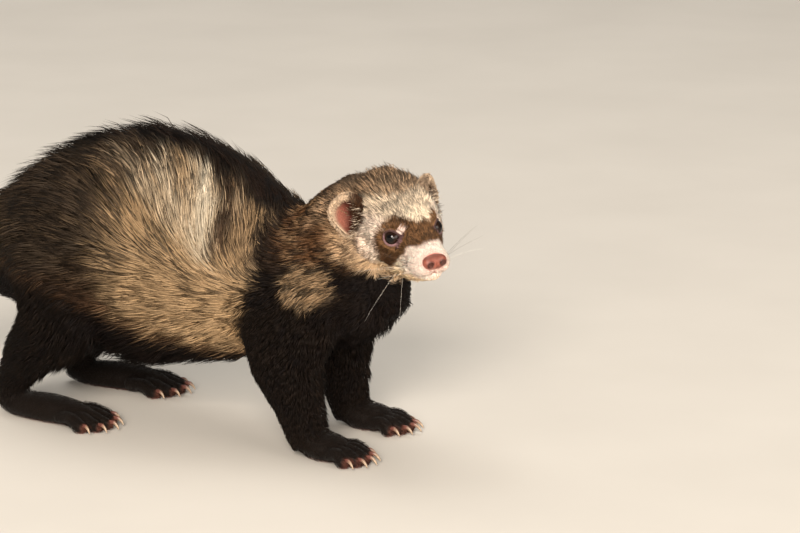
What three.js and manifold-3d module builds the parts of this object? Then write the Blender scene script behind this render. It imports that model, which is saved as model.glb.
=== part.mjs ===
// A domestic ferret with sable polecat markings, life size, standing with its back arched and its head
// turned to its right. It is built from bent, tapered body forms, in millimetres: +X is the animal's left,
// -Y the way its chest faces, +Z up, and the floor is at z = 0.
import * as THREE from "three";
import { mergeVertices } from "three/addons/utils/BufferGeometryUtils.js";
import Module from "manifold-3d";

const wasm = await Module();
wasm.setup();

// What touching nodes keep between them
const GAP = 0.3;

// How the head is held: the tip of its nose, and its turn from looking straight ahead, in degrees
const NOSE_TIP = [-27, -66, 100.5];
const HEAD_TO_THE_RIGHT = 37;
const NOSE_DOWN = 10.5;
const LEFT_SIDE_UP = 7;

// Colours, as the eye sees them
const SABLE = "#2a2019";
const BROWN = "#5b4636";
const CREAM = "#c9b797";
const PALE = "#ddd0bd";
const PINK = "#c98a80";
const BLACK = "#120c0a";

// How much of its depth the coat has along the back, on the sides and under the belly
const BACK_COAT = 1;
const SIDE_COAT = 0.7;
const BELLY_COAT = 0.45;

// The long coat's locks: a core this far out to the tips, then each lock's length, width and thickness, the
// rows' and the columns' steps as shares of these, the lie's turn up the flank, and where the rows start and end
const CORE = 0.45;
const LOCKS = { long: 45, wide: 19, thick: 1.3, row: 0.62, column: 1.08, rise: 0.32, seed: 7, rows: [0.02, 0.86] };
const TAIL_LOCKS = { long: 32, wide: 15, thick: 1.2, row: 0.6, column: 1.15, rise: 0, seed: 13, rows: [0.1, 0.8] };
const VARIES = { long: 0.14, wide: 0.08, tip: 0.07, row: 0.125, column: 0.15, lie: 0.03 };
// A lock from its root to its tip: how far along, how far out in the coat, and how wide and thick
const LOCK_SHAPE = [
  { reach: 0, share: 0, breadth: 0.6 },
  { reach: 0.36, share: 0.64, breadth: 1 },
  { reach: 0.7, share: 0.9, breadth: 0.8 },
  { reach: 1, share: 1, breadth: 0 },
];

// Body stations: the centre, then the flesh's half width and its reach up and down, then the coat's depth
const TRUNK = [
  { at: [2, -27, 78], wide: 20, up: 20, down: 20, coat: 7 },
  { at: [1, 4, 79], wide: 26, up: 21, down: 31, coat: 8 },
  { at: [0, 34, 83], wide: 30, up: 24, down: 41, coat: 10 },
  { at: [0, 62, 89], wide: 35, up: 33, down: 48, coat: 12 },
  { at: [0, 92, 91], wide: 38, up: 39, down: 53, coat: 14 },
  { at: [0, 120, 88], wide: 38, up: 36, down: 49, coat: 14 },
  { at: [0, 145, 83], wide: 34, up: 29, down: 38, coat: 14 },
  { at: [0, 168, 76], wide: 25, up: 20, down: 24, coat: 12 },
  { at: [0, 190, 68], wide: 14, up: 12, down: 13, coat: 9 },
];
const NECK = [
  { at: [1, 34, 78], wide: 22, up: 18, down: 26, coat: 7 },
  { at: [1, 15, 85], wide: 23, up: 18, down: 31, coat: 7 },
  { at: [2, -1, 95], wide: 22, up: 21, down: 34, coat: 7 },
  { at: [2, -14, 103], wide: 20, up: 24, down: 38, coat: 6.5 },
  { at: [0, -25, 108], wide: 17, up: 21, down: 33, coat: 5.5 },
];
const TAIL = [
  { at: [0, 168, 76], wide: 9, up: 9, down: 9, coat: 5 },
  { at: [0, 190, 66], wide: 7.5, up: 7.5, down: 7.5, coat: 6 },
  { at: [3, 213, 50], wide: 6, up: 6, down: 6, coat: 7.5 },
  { at: [8, 239, 35], wide: 5, up: 5, down: 5, coat: 8.5 },
  { at: [15, 268, 25], wide: 3.6, up: 3.6, down: 3.6, coat: 8.5 },
  { at: [23, 296, 21], wide: 1.6, up: 1.6, down: 1.6, coat: 6 },
  { at: [27, 309, 20.5], wide: 0.6, up: 0.6, down: 0.6, coat: 1.2 },
];
// The left legs from the body down to the foot, where "up" is the front of a section
const FORELEG = [
  { at: [15, 12, 86], wide: 9, up: 20, down: 20, coat: 4 },
  { at: [22, 14, 64], wide: 12, up: 22, down: 21, coat: 5 },
  { at: [26, 13, 44], wide: 11, up: 17, down: 16, coat: 5 },
  { at: [26, 8, 28], wide: 9, up: 12, down: 11, coat: 4 },
  { at: [26, 3, 14], wide: 8, up: 9, down: 9, coat: 3 },
  { at: [26, 0, 6], wide: 8, up: 8, down: 8, coat: 2 },
];
const HINDLEG = [
  { at: [16, 146, 86], wide: 14, up: 20, down: 17, coat: 6 },
  { at: [25, 140, 68], wide: 14, up: 21, down: 18, coat: 7 },
  { at: [31, 138, 50], wide: 12, up: 17, down: 16, coat: 7 },
  { at: [32, 150, 34], wide: 9.5, up: 11, down: 12, coat: 5 },
  { at: [31, 161, 20], wide: 7, up: 7, down: 7.5, coat: 3 },
  { at: [31, 164, 8], wide: 6.5, up: 6.5, down: 6.5, coat: 2 },
];

// The head's stations in its own frame: x to the left, y back from the tip of the nose, z up
const SKULL = [
  { at: [0, 1.5, -0.5], wide: 4.6, up: 3.6, down: 4.2, coat: 0.6 },
  { at: [0, 6, -0.6], wide: 7.4, up: 5.8, down: 5.8, coat: 1 },
  { at: [0, 12, -0.4], wide: 9, up: 7.6, down: 8, coat: 1.2 },
  { at: [0, 18, 0], wide: 10.8, up: 10, down: 10.4, coat: 1.8 },
  { at: [0, 24, 0.4], wide: 13.4, up: 12.8, down: 12.6, coat: 2.4 },
  { at: [0, 31, 0.8], wide: 17, up: 14.8, down: 13.6, coat: 3 },
  { at: [0, 39, 1], wide: 19.6, up: 17, down: 15.6, coat: 4 },
  { at: [0, 48, 0.6], wide: 20.6, up: 18.8, down: 17, coat: 4.8 },
  { at: [0, 57, 0], wide: 20, up: 20, down: 17, coat: 5.4 },
  { at: [0, 66, -1], wide: 17, up: 18, down: 15, coat: 5.6 },
];
const JAW = [
  { at: [0, 3.6, -7.2], wide: 3.6, up: 2.4, down: 2.2, coat: 0.5 },
  { at: [0, 8, -7.8], wide: 5.6, up: 3, down: 3, coat: 0.8 },
  { at: [0, 15, -8.2], wide: 6.8, up: 4, down: 4, coat: 1.4 },
  { at: [0, 24, -8.6], wide: 8.6, up: 5, down: 5.2, coat: 2.4 },
  { at: [0, 34, -8], wide: 10.5, up: 6, down: 7, coat: 3 },
];
const WHISKER_PAD = { at: [4.3, 7.6, -2.6], radii: [5, 6.6, 4.9] };
const EYE = { at: [10.1, 23.2, 5.8], radius: 4.1, gaze: [0.74, -0.64, 0.2] };
const LID = { ahead: 2.5, wide: 4.0, high: 3.2, thick: 1.3 };
const NOSE_PAD = { at: [0, 2.2, 0.6], radii: [5.4, 3, 4] };
const NOSTRIL = { at: [2.7, -0.3, 0.2], radii: [1.15, 1.6, 0.95] };
// The groove between the lips, from the middle back to a corner of the mouth
const MOUTH = {
  line: [[0, 3.4, -5.5], [5.2, 5.4, -6.1], [7.7, 10.5, -6.6], [7.8, 16, -7.6], [10.7, 21, -6.9]],
  wide: 1,
  high: 0.5,
};
const EAR = { at: [21.5, 46, 9.6], radii: [9.6, 4.6, 11], turn: 54, lean: 14, back: 12, cup: 0.9, deep: 1.3, wall: 1.8 };

// Paws, seen from above the left foot: the palm's middle, how far the toes turn out and reach
const FOREPAW = { palm: [26.5, -9], half: [9, 13, 6.4], out: 4, toes: [13, 17, 18.5, 17, 12.5], claw: 5.6 };
const HINDPAW = { palm: [32, 142], half: [8.4, 29, 6.6], out: 4, toes: [21, 26, 28, 26.5, 21], claw: 4.6 };
const TOE = { radius: 3.4, tip: 2, knuckle: 5.6, end: 2.9, turn: 8, apart: 3.2 };
const CLAW = { root: 4.2, bend: 3.8, point: 1.3, radii: [1.2, 1, 0.35] };
const LEFT_FOREFOOT_BACK = 5; // how far the left forefoot stands behind the right one
const FLOOR_SINK = 0.8; // how far the soft pads would press below the floor, cut off flat

const vector = (p) => new THREE.Vector3(...p);
const leftAndRight = [["left", 1], ["right", -1]];

// Turns the head's own frame into the body's
const headFrame = new THREE.Matrix4()
  .makeTranslation(...NOSE_TIP)
  .multiply(
    new THREE.Matrix4().makeRotationFromEuler(
      new THREE.Euler(
        ...[NOSE_DOWN, -LEFT_SIDE_UP, -HEAD_TO_THE_RIGHT].map(THREE.MathUtils.degToRad),
        "ZXY",
      ),
    ),
  );

// One number of the stations by a Catmull-Rom cubic, for t from 0 at the first to 1 at the last
function along(stations, key, t) {
  const last = stations.length - 1;
  const i = Math.min(last - 1, Math.floor(t * last));
  const f = t * last - i;
  const [a, b, c, d] = [i - 1, i, i + 1, i + 2].map((k) => stations[THREE.MathUtils.clamp(k, 0, last)][key]);
  return b + 0.5 * f * (c - a + f * (2 * a - 5 * b + 4 * c - d + f * (3 * (b - c) + d - a)));
}

// The two ends close in a dome over these shares of the length
function domed(t, [start, end]) {
  const from = (share, reach) => (share < reach ? Math.sqrt(1 - (1 - share / reach) ** 2) : 1);
  return Math.max(0.02, from(t, start) * from(1 - t, end));
}

// A bent body form: the stations' curve, which way the front of a section faces, and the ends' domes
function bodyOf(stations, { front = [0, 0, 1], dome = [0, 0] } = {}) {
  const curve = new THREE.CatmullRomCurve3(stations.map((s) => vector(s.at)));
  return { stations, curve, front: vector(front), dome, length: curve.getLength() };
}

// The section of a body at t, out to a share of the coat
function sectionOf(body, t, share, grow = 0, close = domed(t, body.dome)) {
  const ahead = body.curve.getTangent(t);
  const side = new THREE.Vector3().crossVectors(ahead, body.front).normalize();
  const coat = along(body.stations, "coat", t) * share;
  const reach = (key, depth) => (along(body.stations, key, t) + coat * depth + grow) * close;
  return {
    centre: body.curve.getPoint(t),
    side,
    up: new THREE.Vector3().crossVectors(side, ahead),
    wide: reach("wide", SIDE_COAT),
    high: reach("up", BACK_COAT),
    low: reach("down", BELLY_COAT),
  };
}

function sectionPoint({ centre, side, up, wide, high, low }, turn) {
  return centre
    .clone()
    .addScaledVector(side, wide * Math.cos(turn))
    .addScaledVector(up, (Math.sin(turn) > 0 ? high : low) * Math.sin(turn));
}

// The closed solid of a body, out to a share of the coat
function bodyForm(body, { share = 1, grow = 0, rings = 12, sides = 16 } = {}) {
  const rounded = body.dome[0] + body.dome[1] > 0;
  const made = [];
  for (let i = 0; i <= rings; i++) {
    const even = i / rings;
    const section = sectionOf(body, rounded ? (1 - Math.cos(Math.PI * even)) / 2 : even, share, grow);
    made.push(Array.from({ length: sides }, (_, k) => sectionPoint(section, (2 * Math.PI * k) / sides)));
  }
  return skinned(made);
}

// A repeatable draw of numbers from 0 to 1
function drawFrom(seed) {
  let state = seed;
  return () => {
    state = (state + 0x6d2b79f5) | 0;
    let bits = Math.imul(state ^ (state >>> 15), 1 | state);
    bits = (bits + Math.imul(bits ^ (bits >>> 7), 61 | bits)) ^ bits;
    return ((bits ^ (bits >>> 14)) >>> 0) / 2 ** 32;
  };
}

// Where a lock stops following the dome of the end
const NEAR_END = 0.97;

// A flat, tapered lock that bends along the body from its sunk root to its free tip
function lockOn(body, t, turn, { long, wide, thick, drift, tip }) {
  const corners = LOCK_SHAPE.flatMap(({ reach, share, breadth }) => {
    const at = Math.min(0.999, t + (reach * long) / body.length);
    const out = share * THREE.MathUtils.lerp(1, tip, reach);
    const section = sectionOf(body, at, out, 0, domed(Math.min(at, NEAR_END), body.dome));
    const heading = turn + drift * reach;
    const girth = (section.wide + (section.high + section.low) / 2) / 2;
    const half = (wide * breadth) / 2 / girth;
    const middle = sectionPoint(section, heading);
    if (breadth === 0) return [middle];
    const [left, right] = [sectionPoint(section, heading + half), sectionPoint(section, heading - half)];
    return [left, middle.add(middle.clone().sub(section.centre).setLength(thick)), right];
  });
  const faces = [[0, 1, 2]];
  for (let ring = 0; ring < 2; ring++) {
    for (let k = 0; k < 3; k++) {
      const [a, b] = [ring * 3 + k, ring * 3 + ((k + 1) % 3)];
      faces.push([a, a + 3, b], [b, a + 3, b + 3]);
    }
  }
  for (let k = 0; k < 3; k++) faces.push([6 + k, 9, 6 + ((k + 1) % 3)]);
  return solidFrom(corners, faces);
}

// All locks of a body in staggered rows, each drawn a little differently
function locksOn(body, kind) {
  const draw = drawFrom(kind.seed);
  const shift = (amount) => amount * (2 * draw() - 1);
  const step = (kind.long * kind.row) / body.length;
  const made = [];
  for (let row = 0, t = kind.rows[0]; t < kind.rows[1]; row++, t += step) {
    const { wide, high, low } = sectionOf(body, Math.min(t + step, NEAR_END), 1);
    const around = Math.PI * (wide + (high + low) / 2);
    const count = Math.max(4, Math.round(around / (kind.wide * kind.column)));
    for (let k = 0; k < count; k++) {
      const turn = (2 * Math.PI * (k + (row % 2) / 2 + shift(VARIES.column))) / count;
      const upper = Math.max(0, Math.sin(turn));
      made.push(
        lockOn(body, t + step * shift(VARIES.row), turn, {
          long: kind.long * (1 + shift(VARIES.long)),
          wide: Math.min(kind.wide, around / count) * (1 + shift(VARIES.wide)),
          thick: kind.thick,
          drift: kind.rise * upper * Math.cos(turn) + shift(VARIES.lie),
          tip: 1 + shift(VARIES.tip),
        }),
      );
    }
  }
  return made;
}

// A closed solid through rings of equal length, with a fan over each end
function skinned(rings) {
  const sides = rings[0].length;
  const points = rings.flat();
  const faces = [];
  for (let i = 0; i + 1 < rings.length; i++) {
    for (let k = 0; k < sides; k++) {
      const [a, b] = [i * sides + k, i * sides + ((k + 1) % sides)];
      faces.push([a, a + sides, b], [b, a + sides, b + sides]);
    }
  }
  for (const [ring, flip] of [[0, false], [rings.length - 1, true]]) {
    const hub = points.length;
    points.push(rings[ring].reduce((sum, p) => sum.add(p), new THREE.Vector3()).divideScalar(sides));
    for (let k = 0; k < sides; k++) {
      const [a, b] = [ring * sides + k, ring * sides + ((k + 1) % sides)];
      faces.push(flip ? [hub, b, a] : [hub, a, b]);
    }
  }
  return solidFrom(points, faces);
}

function solidFrom(points, faces) {
  const geometry = new THREE.BufferGeometry()
    .setAttribute("position", new THREE.Float32BufferAttribute(points.flatMap((p) => p.toArray()), 3))
    .setIndex(faces.flat());
  return solidOf(geometry);
}

// A manifold solid of a closed geometry, turned the right way out
function solidOf(geometry) {
  const bare = geometry.clone();
  bare.deleteAttribute("normal");
  bare.deleteAttribute("uv");
  const merged = mergeVertices(bare, 1e-4);
  const vertProperties = merged.attributes.position.array;
  const build = (triVerts) => new wasm.Manifold(new wasm.Mesh({ numProp: 3, vertProperties, triVerts }));
  const made = build(new Uint32Array(merged.index.array));
  return made.volume() > 0 ? made : build(new Uint32Array(merged.index.array).reverse());
}

// An ellipsoid, turned by Euler angles in degrees
function ellipsoid(at, radii, { grow = 0, turned = [0, 0, 0], around = 16, tall = 10 } = {}) {
  const geometry = new THREE.SphereGeometry(1, around, tall)
    .rotateX(Math.PI / 2)
    .scale(...radii.map((r) => r + grow));
  geometry.applyMatrix4(
    new THREE.Matrix4().makeRotationFromEuler(
      new THREE.Euler(...turned.map(THREE.MathUtils.degToRad), "ZXY"),
    ),
  );
  return solidOf(geometry.translate(...at));
}

const nosePad = (grow) => ellipsoid(NOSE_PAD.at, NOSE_PAD.radii, { grow, around: 12, tall: 8 });
const sided = ([x, y, z], sign) => [sign * x, y, z];

const joined = (solids) => wasm.Manifold.union(solids);
const minus = (solid, others) => others.reduce((made, next) => made.subtract(next), solid);

// Keeps a solid's largest closed body
function largest(solid) {
  return solid.decompose().reduce((best, body) => (body.volume() > best.volume() ? body : best));
}

// A solid of the head's frame, carried into the body's
const onHead = (solid) => solid.transform(headFrame.elements);
const mirrored = (stations, sign) => stations.map((s) => ({ ...s, at: sided(s.at, sign) }));

// The forefoot of a side, and its leg, whose lower stations follow it back
function foreSide(sign) {
  const back = sign > 0 ? LEFT_FOREFOOT_BACK : 0;
  const reach = (z) => THREE.MathUtils.smoothstep(FORELEG[1].at[2] - z, 0, FORELEG[1].at[2]);
  const stations = FORELEG.map((s) => ({ ...s, at: [s.at[0], s.at[1] + back * reach(s.at[2]), s.at[2]] }));
  return { leg: mirrored(stations, sign), foot: { ...FOREPAW, palm: [FOREPAW.palm[0], FOREPAW.palm[1] + back] } };
}

const trunk = bodyOf(TRUNK, { dome: [0.09, 0.07] });
const tail = bodyOf(TAIL);
const neck = bodyOf(NECK, { dome: [0, 0.12] });
const trunkCore = (grow) => bodyForm(trunk, { rings: 15, sides: 18, share: CORE, grow });
const tailForm = (share, grow) => bodyForm(tail, { rings: 9, sides: 8, share, grow });
const neckForm = (grow) => bodyForm(neck, { rings: 10, sides: 16, grow });

// The head: skull, whisker pads and jaw in one, in the head's own frame
function headForm(grow) {
  const pads = leftAndRight.map(([, sign]) =>
    ellipsoid(sided(WHISKER_PAD.at, sign), WHISKER_PAD.radii, { grow, around: 12, tall: 8 }),
  );
  const jaw = bodyForm(bodyOf(JAW), { grow, rings: 6, sides: 10 });
  const skull = bodyForm(bodyOf(SKULL, { dome: [0.05, 0.14] }), { grow, rings: 17, sides: 22 });
  return joined([skull, jaw, ...pads]);
}

// An eyelid ring lies round the eye, square to its gaze
function lidRing(sign) {
  const gaze = vector(sided(EYE.gaze, sign)).normalize();
  const ring = new THREE.TorusGeometry(1, LID.thick / LID.wide, 6, 16).scale(LID.wide, LID.high, LID.wide);
  ring.applyQuaternion(new THREE.Quaternion().setFromUnitVectors(new THREE.Vector3(0, 0, 1), gaze));
  const centre = vector(sided(EYE.at, sign)).addScaledVector(gaze, LID.ahead);
  return solidOf(ring.translate(...centre.toArray()));
}

const eyeBall = (sign, grow) =>
  ellipsoid(sided(EYE.at, sign), Array(3).fill(EYE.radius), { grow, around: 14, tall: 9 });

// The groove between the lips, from one corner of the mouth round the front to the other
function mouth() {
  const corner = MOUTH.line.slice(1).reverse().map((p) => sided(p, -1));
  const stations = [...corner, ...MOUTH.line].map((at) => ({
    at,
    wide: MOUTH.wide,
    up: MOUTH.high,
    down: MOUTH.high,
    coat: 0,
  }));
  return bodyForm(bodyOf(stations), { rings: 10, sides: 4 });
}

function head() {
  let made = headForm(0).subtract(mouth());
  for (const [, sign] of leftAndRight) made = made.add(lidRing(sign)).subtract(eyeBall(sign, GAP));
  return made.subtract(nosePad(GAP));
}

function nose() {
  const nostrils = leftAndRight.map(([, sign]) =>
    ellipsoid(sided(NOSTRIL.at, sign), NOSTRIL.radii, { around: 8, tall: 6 }),
  );
  return minus(nosePad(0), nostrils);
}

// A cupped ear: a shell about its wall thick, open towards its front
const earTurn = (sign) => [-EAR.back, sign * EAR.lean, sign * EAR.turn];
const earWhole = (sign, grow) =>
  ellipsoid(sided(EAR.at, sign), EAR.radii, { grow, turned: earTurn(sign), around: 14, tall: 9 });

function ear(sign) {
  const turned = earTurn(sign);
  const facing = new THREE.Vector3(0, -1, 0).applyEuler(
    new THREE.Euler(...turned.map(THREE.MathUtils.degToRad), "ZXY"),
  );
  const cupAt = vector(sided(EAR.at, sign)).addScaledVector(facing, EAR.radii[1] * EAR.cup);
  const [wide, thick, high] = EAR.radii;
  const cup = ellipsoid(cupAt.toArray(), [wide - EAR.wall, thick * EAR.deep, high - EAR.wall], { turned });
  return earWhole(sign, 0).subtract(cup).subtract(headForm(GAP));
}

// A toe from the palm out to its tip, arched over its knuckle, with its claw
function toe(from, heading, length, claw) {
  const ahead = new THREE.Vector3(Math.sin(heading), -Math.cos(heading), 0);
  const at = (reach, z) => [from[0] + ahead.x * reach, from[1] + ahead.y * reach, z];
  const station = (reach, z, r) => ({ at: at(reach, z), wide: r, up: r, down: r, coat: 0.4 });
  const finger = [
    station(0, TOE.knuckle - 1, TOE.radius),
    station(length * 0.5, TOE.knuckle, TOE.radius),
    station(length * 0.86, TOE.end, TOE.radius),
    station(length, TOE.end, TOE.tip),
  ];
  const nail = [
    station(length * 0.9, CLAW.root, CLAW.radii[0]),
    station(length + claw * 0.45, CLAW.bend, CLAW.radii[1]),
    station(length + claw, CLAW.point, CLAW.radii[2]),
  ];
  const digit = bodyForm(bodyOf(finger, { dome: [0, 0.16] }), { rings: 3, sides: 6 });
  return digit.add(bodyForm(bodyOf(nail), { rings: 2, sides: 4 }));
}

// A paw: a palm and five toes, the first on the inner side, with flat pads where it meets the floor
function paw(spec, sign) {
  const [x, y] = spec.palm;
  const toes = spec.toes.map((length, k) => {
    const turn = THREE.MathUtils.degToRad(spec.out + (k - 2) * TOE.turn);
    const from = [sign * (x + (k - 2) * TOE.apart), y - spec.half[1] * 0.35];
    return toe(from, sign * turn, length, spec.claw);
  });
  const under = solidOf(new THREE.BoxGeometry(400, 400, 20).translate(0, y, -10));
  return joined([palm(spec, sign, 0), ...toes]).subtract(under);
}

function palm(spec, sign, grow) {
  const [x, y] = spec.palm;
  const turned = [0, 0, sign * spec.out];
  return ellipsoid([sign * x, y, spec.half[2] - FLOOR_SINK], spec.half, { grow, turned, around: 12, tall: 7 });
}

const legForm = (stations, grow) =>
  bodyForm(bodyOf(stations, { front: [0, -1, 0] }), { rings: 9, sides: 12, grow });

const ferret = new THREE.Group();

function addNode(name, solid, color, roughness = 0.9) {
  const { numVert, numProp, vertProperties, triVerts } = largest(solid).getMesh();
  const position = new Float32Array(numVert * 3);
  for (let i = 0; i < numVert; i++) position.set(vertProperties.subarray(i * numProp, i * numProp + 3), i * 3);
  const geometry = new THREE.BufferGeometry()
    .setAttribute("position", new THREE.BufferAttribute(position, 3))
    .setIndex(new THREE.BufferAttribute(triVerts, 1));
  const mesh = new THREE.Mesh(geometry, new THREE.MeshStandardMaterial({ color, roughness, metalness: 0 }));
  mesh.name = name;
  ferret.add(mesh);
}

const grownCore = trunkCore(GAP);
const grownHead = onHead(headForm(GAP));
const grownEars = leftAndRight.map(([, sign]) => onHead(earWhole(sign, GAP)));
const grownNeck = neckForm(GAP);
const legs = leftAndRight.map(([, sign]) => ({ fore: foreSide(sign), hind: mirrored(HINDLEG, sign) }));
const grownLegs = legs.flatMap(({ fore, hind }) => [legForm(fore.leg, GAP), legForm(hind, GAP)]);

// The torso's locks keep clear of what grows from it, and its core is left whole
const grownTail = tailForm(1 + VARIES.tip, GAP);
const besideCore = joined([grownNeck, grownHead, ...grownEars, ...grownLegs, grownTail]).subtract(trunkCore(0));
const coat = joined([trunkCore(0), ...locksOn(trunk, LOCKS)]);

addNode("torso", coat.subtract(besideCore), CREAM);
addNode("neck", minus(neckForm(0), [grownCore, grownHead, ...grownEars]), BROWN);
addNode("tail", joined([tailForm(CORE, 0), ...locksOn(tail, TAIL_LOCKS)]).subtract(grownCore), SABLE);
addNode("head", onHead(head()).subtract(grownCore), PALE);
addNode("nose", onHead(nose()), PINK, 0.5);
leftAndRight.forEach(([name, sign], k) => {
  const { fore, hind } = legs[k];
  const foreCuts = [grownCore, grownNeck, palm(fore.foot, sign, GAP)];
  const hindCuts = [grownCore, palm(HINDPAW, sign, GAP)];
  addNode(`eye_${name}`, onHead(eyeBall(sign, 0)), BLACK, 0.1);
  addNode(`ear_${name}`, onHead(ear(sign)), PALE);
  addNode(`foreleg_${name}`, minus(legForm(fore.leg, 0), foreCuts), SABLE);
  addNode(`hindleg_${name}`, minus(legForm(hind, 0), hindCuts), SABLE);
  addNode(`forepaw_${name}`, paw(fore.foot, sign), SABLE);
  addNode(`hindpaw_${name}`, paw(HINDPAW, sign), SABLE);
});

// The origin is the middle of the footprint, on the floor
const outline = new THREE.Box3().setFromObject(ferret);
const middle = outline.getCenter(new THREE.Vector3());
for (const mesh of ferret.children) mesh.geometry.translate(-middle.x, -middle.y, 0);

export default ferret;
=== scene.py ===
"""A life-size domestic ferret with sable markings, its back arched and its head turned to its right.

One skin covers the flesh of every part, made from the same stations as the solids. Over it lies a coat of
solid tufts that follow the lie of the hair and carry the skin's markings, with their painted shade and light.
The eyes, nose, claws and whiskers are pieces of their own. Shapes are worked out in millimetres, with +X to
the animal's left, -Y ahead and +Z up, and are set into the frame in metres.
"""

import logging
import math
from collections.abc import Callable
from dataclasses import dataclass, replace
from enum import IntEnum

import bmesh
import bpy
import numpy as np
from bpy.types import ID, Material, Mesh, Node, NodeSocket, NodeTree, Object
from mathutils import Matrix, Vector
from mathutils.kdtree import KDTree
from numpy.random import Generator


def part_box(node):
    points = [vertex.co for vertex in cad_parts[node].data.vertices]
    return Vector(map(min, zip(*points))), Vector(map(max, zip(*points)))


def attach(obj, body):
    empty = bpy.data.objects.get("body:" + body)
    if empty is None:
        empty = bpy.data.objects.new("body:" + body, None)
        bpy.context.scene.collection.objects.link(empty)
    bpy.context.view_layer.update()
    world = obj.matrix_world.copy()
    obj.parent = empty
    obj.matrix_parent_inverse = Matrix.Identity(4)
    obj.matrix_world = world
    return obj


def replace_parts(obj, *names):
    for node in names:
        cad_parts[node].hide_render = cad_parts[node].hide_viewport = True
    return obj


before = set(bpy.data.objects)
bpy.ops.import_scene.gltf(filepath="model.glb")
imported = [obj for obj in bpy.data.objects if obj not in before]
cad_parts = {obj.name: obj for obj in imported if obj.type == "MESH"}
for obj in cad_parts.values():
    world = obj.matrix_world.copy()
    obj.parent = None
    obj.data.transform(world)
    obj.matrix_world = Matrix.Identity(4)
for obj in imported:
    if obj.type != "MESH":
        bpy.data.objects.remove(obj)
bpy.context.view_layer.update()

Array = np.ndarray
Point = tuple[float, float, float]
Row = tuple[Point, float, float, float, float]
Faces = list[tuple[int, ...]]
Rule = Callable[[Array], Array]
Values = dict[str | int, object]

LOG = logging.getLogger("ferret")
MM = 0.001  # a millimetre in the frame's metres
FAR = 1000.0  # the reach given to a point that is nowhere near a form
SOLE, LOWEST_HAIR = 0.15, 0.25  # how far above the floor the soles and the hair stay

# How much of its depth the coat has along the back, on the sides and under the belly
BACK_COAT, SIDE_COAT, BELLY_COAT = 1.0, 0.7, 0.45

# Sections of each body form: centre, the flesh's half width, its reach up and down, and the coat's depth
TRUNK: tuple[Row, ...] = (
    ((2, -27, 78), 20, 20, 20, 7),
    ((1, 4, 79), 26, 21, 31, 8),
    ((0, 34, 83), 30, 24, 41, 10),
    ((0, 62, 89), 35, 33, 48, 12),
    ((0, 92, 91), 38, 39, 53, 14),
    ((0, 120, 88), 38, 36, 49, 14),
    ((0, 145, 83), 34, 29, 38, 14),
    ((0, 168, 76), 25, 20, 24, 12),
    ((0, 190, 68), 14, 12, 13, 9),
)
NECK: tuple[Row, ...] = (
    ((1, 34, 78), 22, 18, 26, 7),
    ((1, 15, 85), 23, 18, 31, 7),
    ((2, -1, 95), 22, 21, 34, 7),
    ((2, -14, 103), 20, 24, 38, 6.5),
    ((0, -25, 108), 17, 21, 33, 5.5),
)
TAIL: tuple[Row, ...] = (
    ((0, 168, 76), 9, 9, 9, 5),
    ((0, 190, 66), 7.5, 7.5, 7.5, 6),
    ((3, 213, 50), 6, 6, 6, 7.5),
    ((8, 239, 35), 5, 5, 5, 8.5),
    ((15, 268, 25), 3.6, 3.6, 3.6, 8.5),
    ((23, 296, 21), 1.6, 1.6, 1.6, 6),
    ((27, 309, 20.5), 0.6, 0.6, 0.6, 1.2),
)
# The left legs, down to the foot, where "up" is the front of a section
FORELEG: tuple[Row, ...] = (
    ((15, 12, 86), 9, 20, 20, 4),
    ((22, 14, 64), 12, 22, 21, 5),
    ((26, 13, 44), 11, 17, 16, 5),
    ((26, 8, 28), 9, 12, 11, 4),
    ((26, 3, 14), 8, 9, 9, 3),
    ((26, 0, 6), 8, 8, 8, 2),
)
HINDLEG: tuple[Row, ...] = (
    ((16, 146, 86), 14, 20, 17, 6),
    ((25, 140, 68), 14, 21, 18, 7),
    ((31, 138, 50), 12, 17, 16, 7),
    ((32, 150, 34), 9.5, 11, 12, 5),
    ((31, 161, 20), 7, 7, 7.5, 3),
    ((31, 164, 8), 6.5, 6.5, 6.5, 2),
)
LEFT_FOREFOOT_BACK = 5.0  # how far the left forefoot stands behind the right one
# The head's sections in its own frame: x to the left, y back from the tip of the nose, z up
SKULL: tuple[Row, ...] = (
    ((0, 1.5, -0.5), 4.6, 3.6, 4.2, 0.6),
    ((0, 6, -0.6), 7.4, 5.8, 5.8, 1),
    ((0, 12, -0.4), 9, 7.6, 8, 1.2),
    ((0, 18, 0), 10.8, 10, 10.4, 1.8),
    ((0, 24, 0.4), 13.4, 12.8, 12.6, 2.4),
    ((0, 31, 0.8), 17, 14.8, 13.6, 3),
    ((0, 39, 1), 19.6, 17, 15.6, 4),
    ((0, 48, 0.6), 20.6, 18.8, 17, 4.8),
    ((0, 57, 0), 20, 20, 17, 5.4),
    ((0, 66, -1), 17, 18, 15, 5.6),
)
JAW: tuple[Row, ...] = (
    ((0, 3.6, -7.2), 3.6, 2.4, 2.2, 0.7),
    ((0, 8, -7.8), 5.6, 3, 3, 2),
    ((0, 15, -8.2), 6.8, 4, 4, 3.6),
    ((0, 24, -8.6), 8.6, 5, 5.2, 4.4),
    ((0, 34, -8), 10.5, 6, 7, 4.6),
)


def unit(vectors: Array) -> Array:
    """Vectors of length one along the last axis."""
    return vectors / np.maximum(np.linalg.norm(vectors, axis=-1, keepdims=True), 1e-9)


def lengths(vectors: Array) -> Array:
    """The length of each row."""
    return np.linalg.norm(vectors, axis=1)


def dot(a: Array, b: Array) -> Array:
    """Row by row products of two sets of vectors, as a column."""
    return np.sum(a * b, axis=-1, keepdims=True)


def ease(values: Array, low: float, high: float) -> Array:
    """A smooth step from 0 at low to 1 at high; low may be the larger."""
    share = np.clip((values - low) / (high - low), 0, 1)
    return share * share * (3 - 2 * share)


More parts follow.
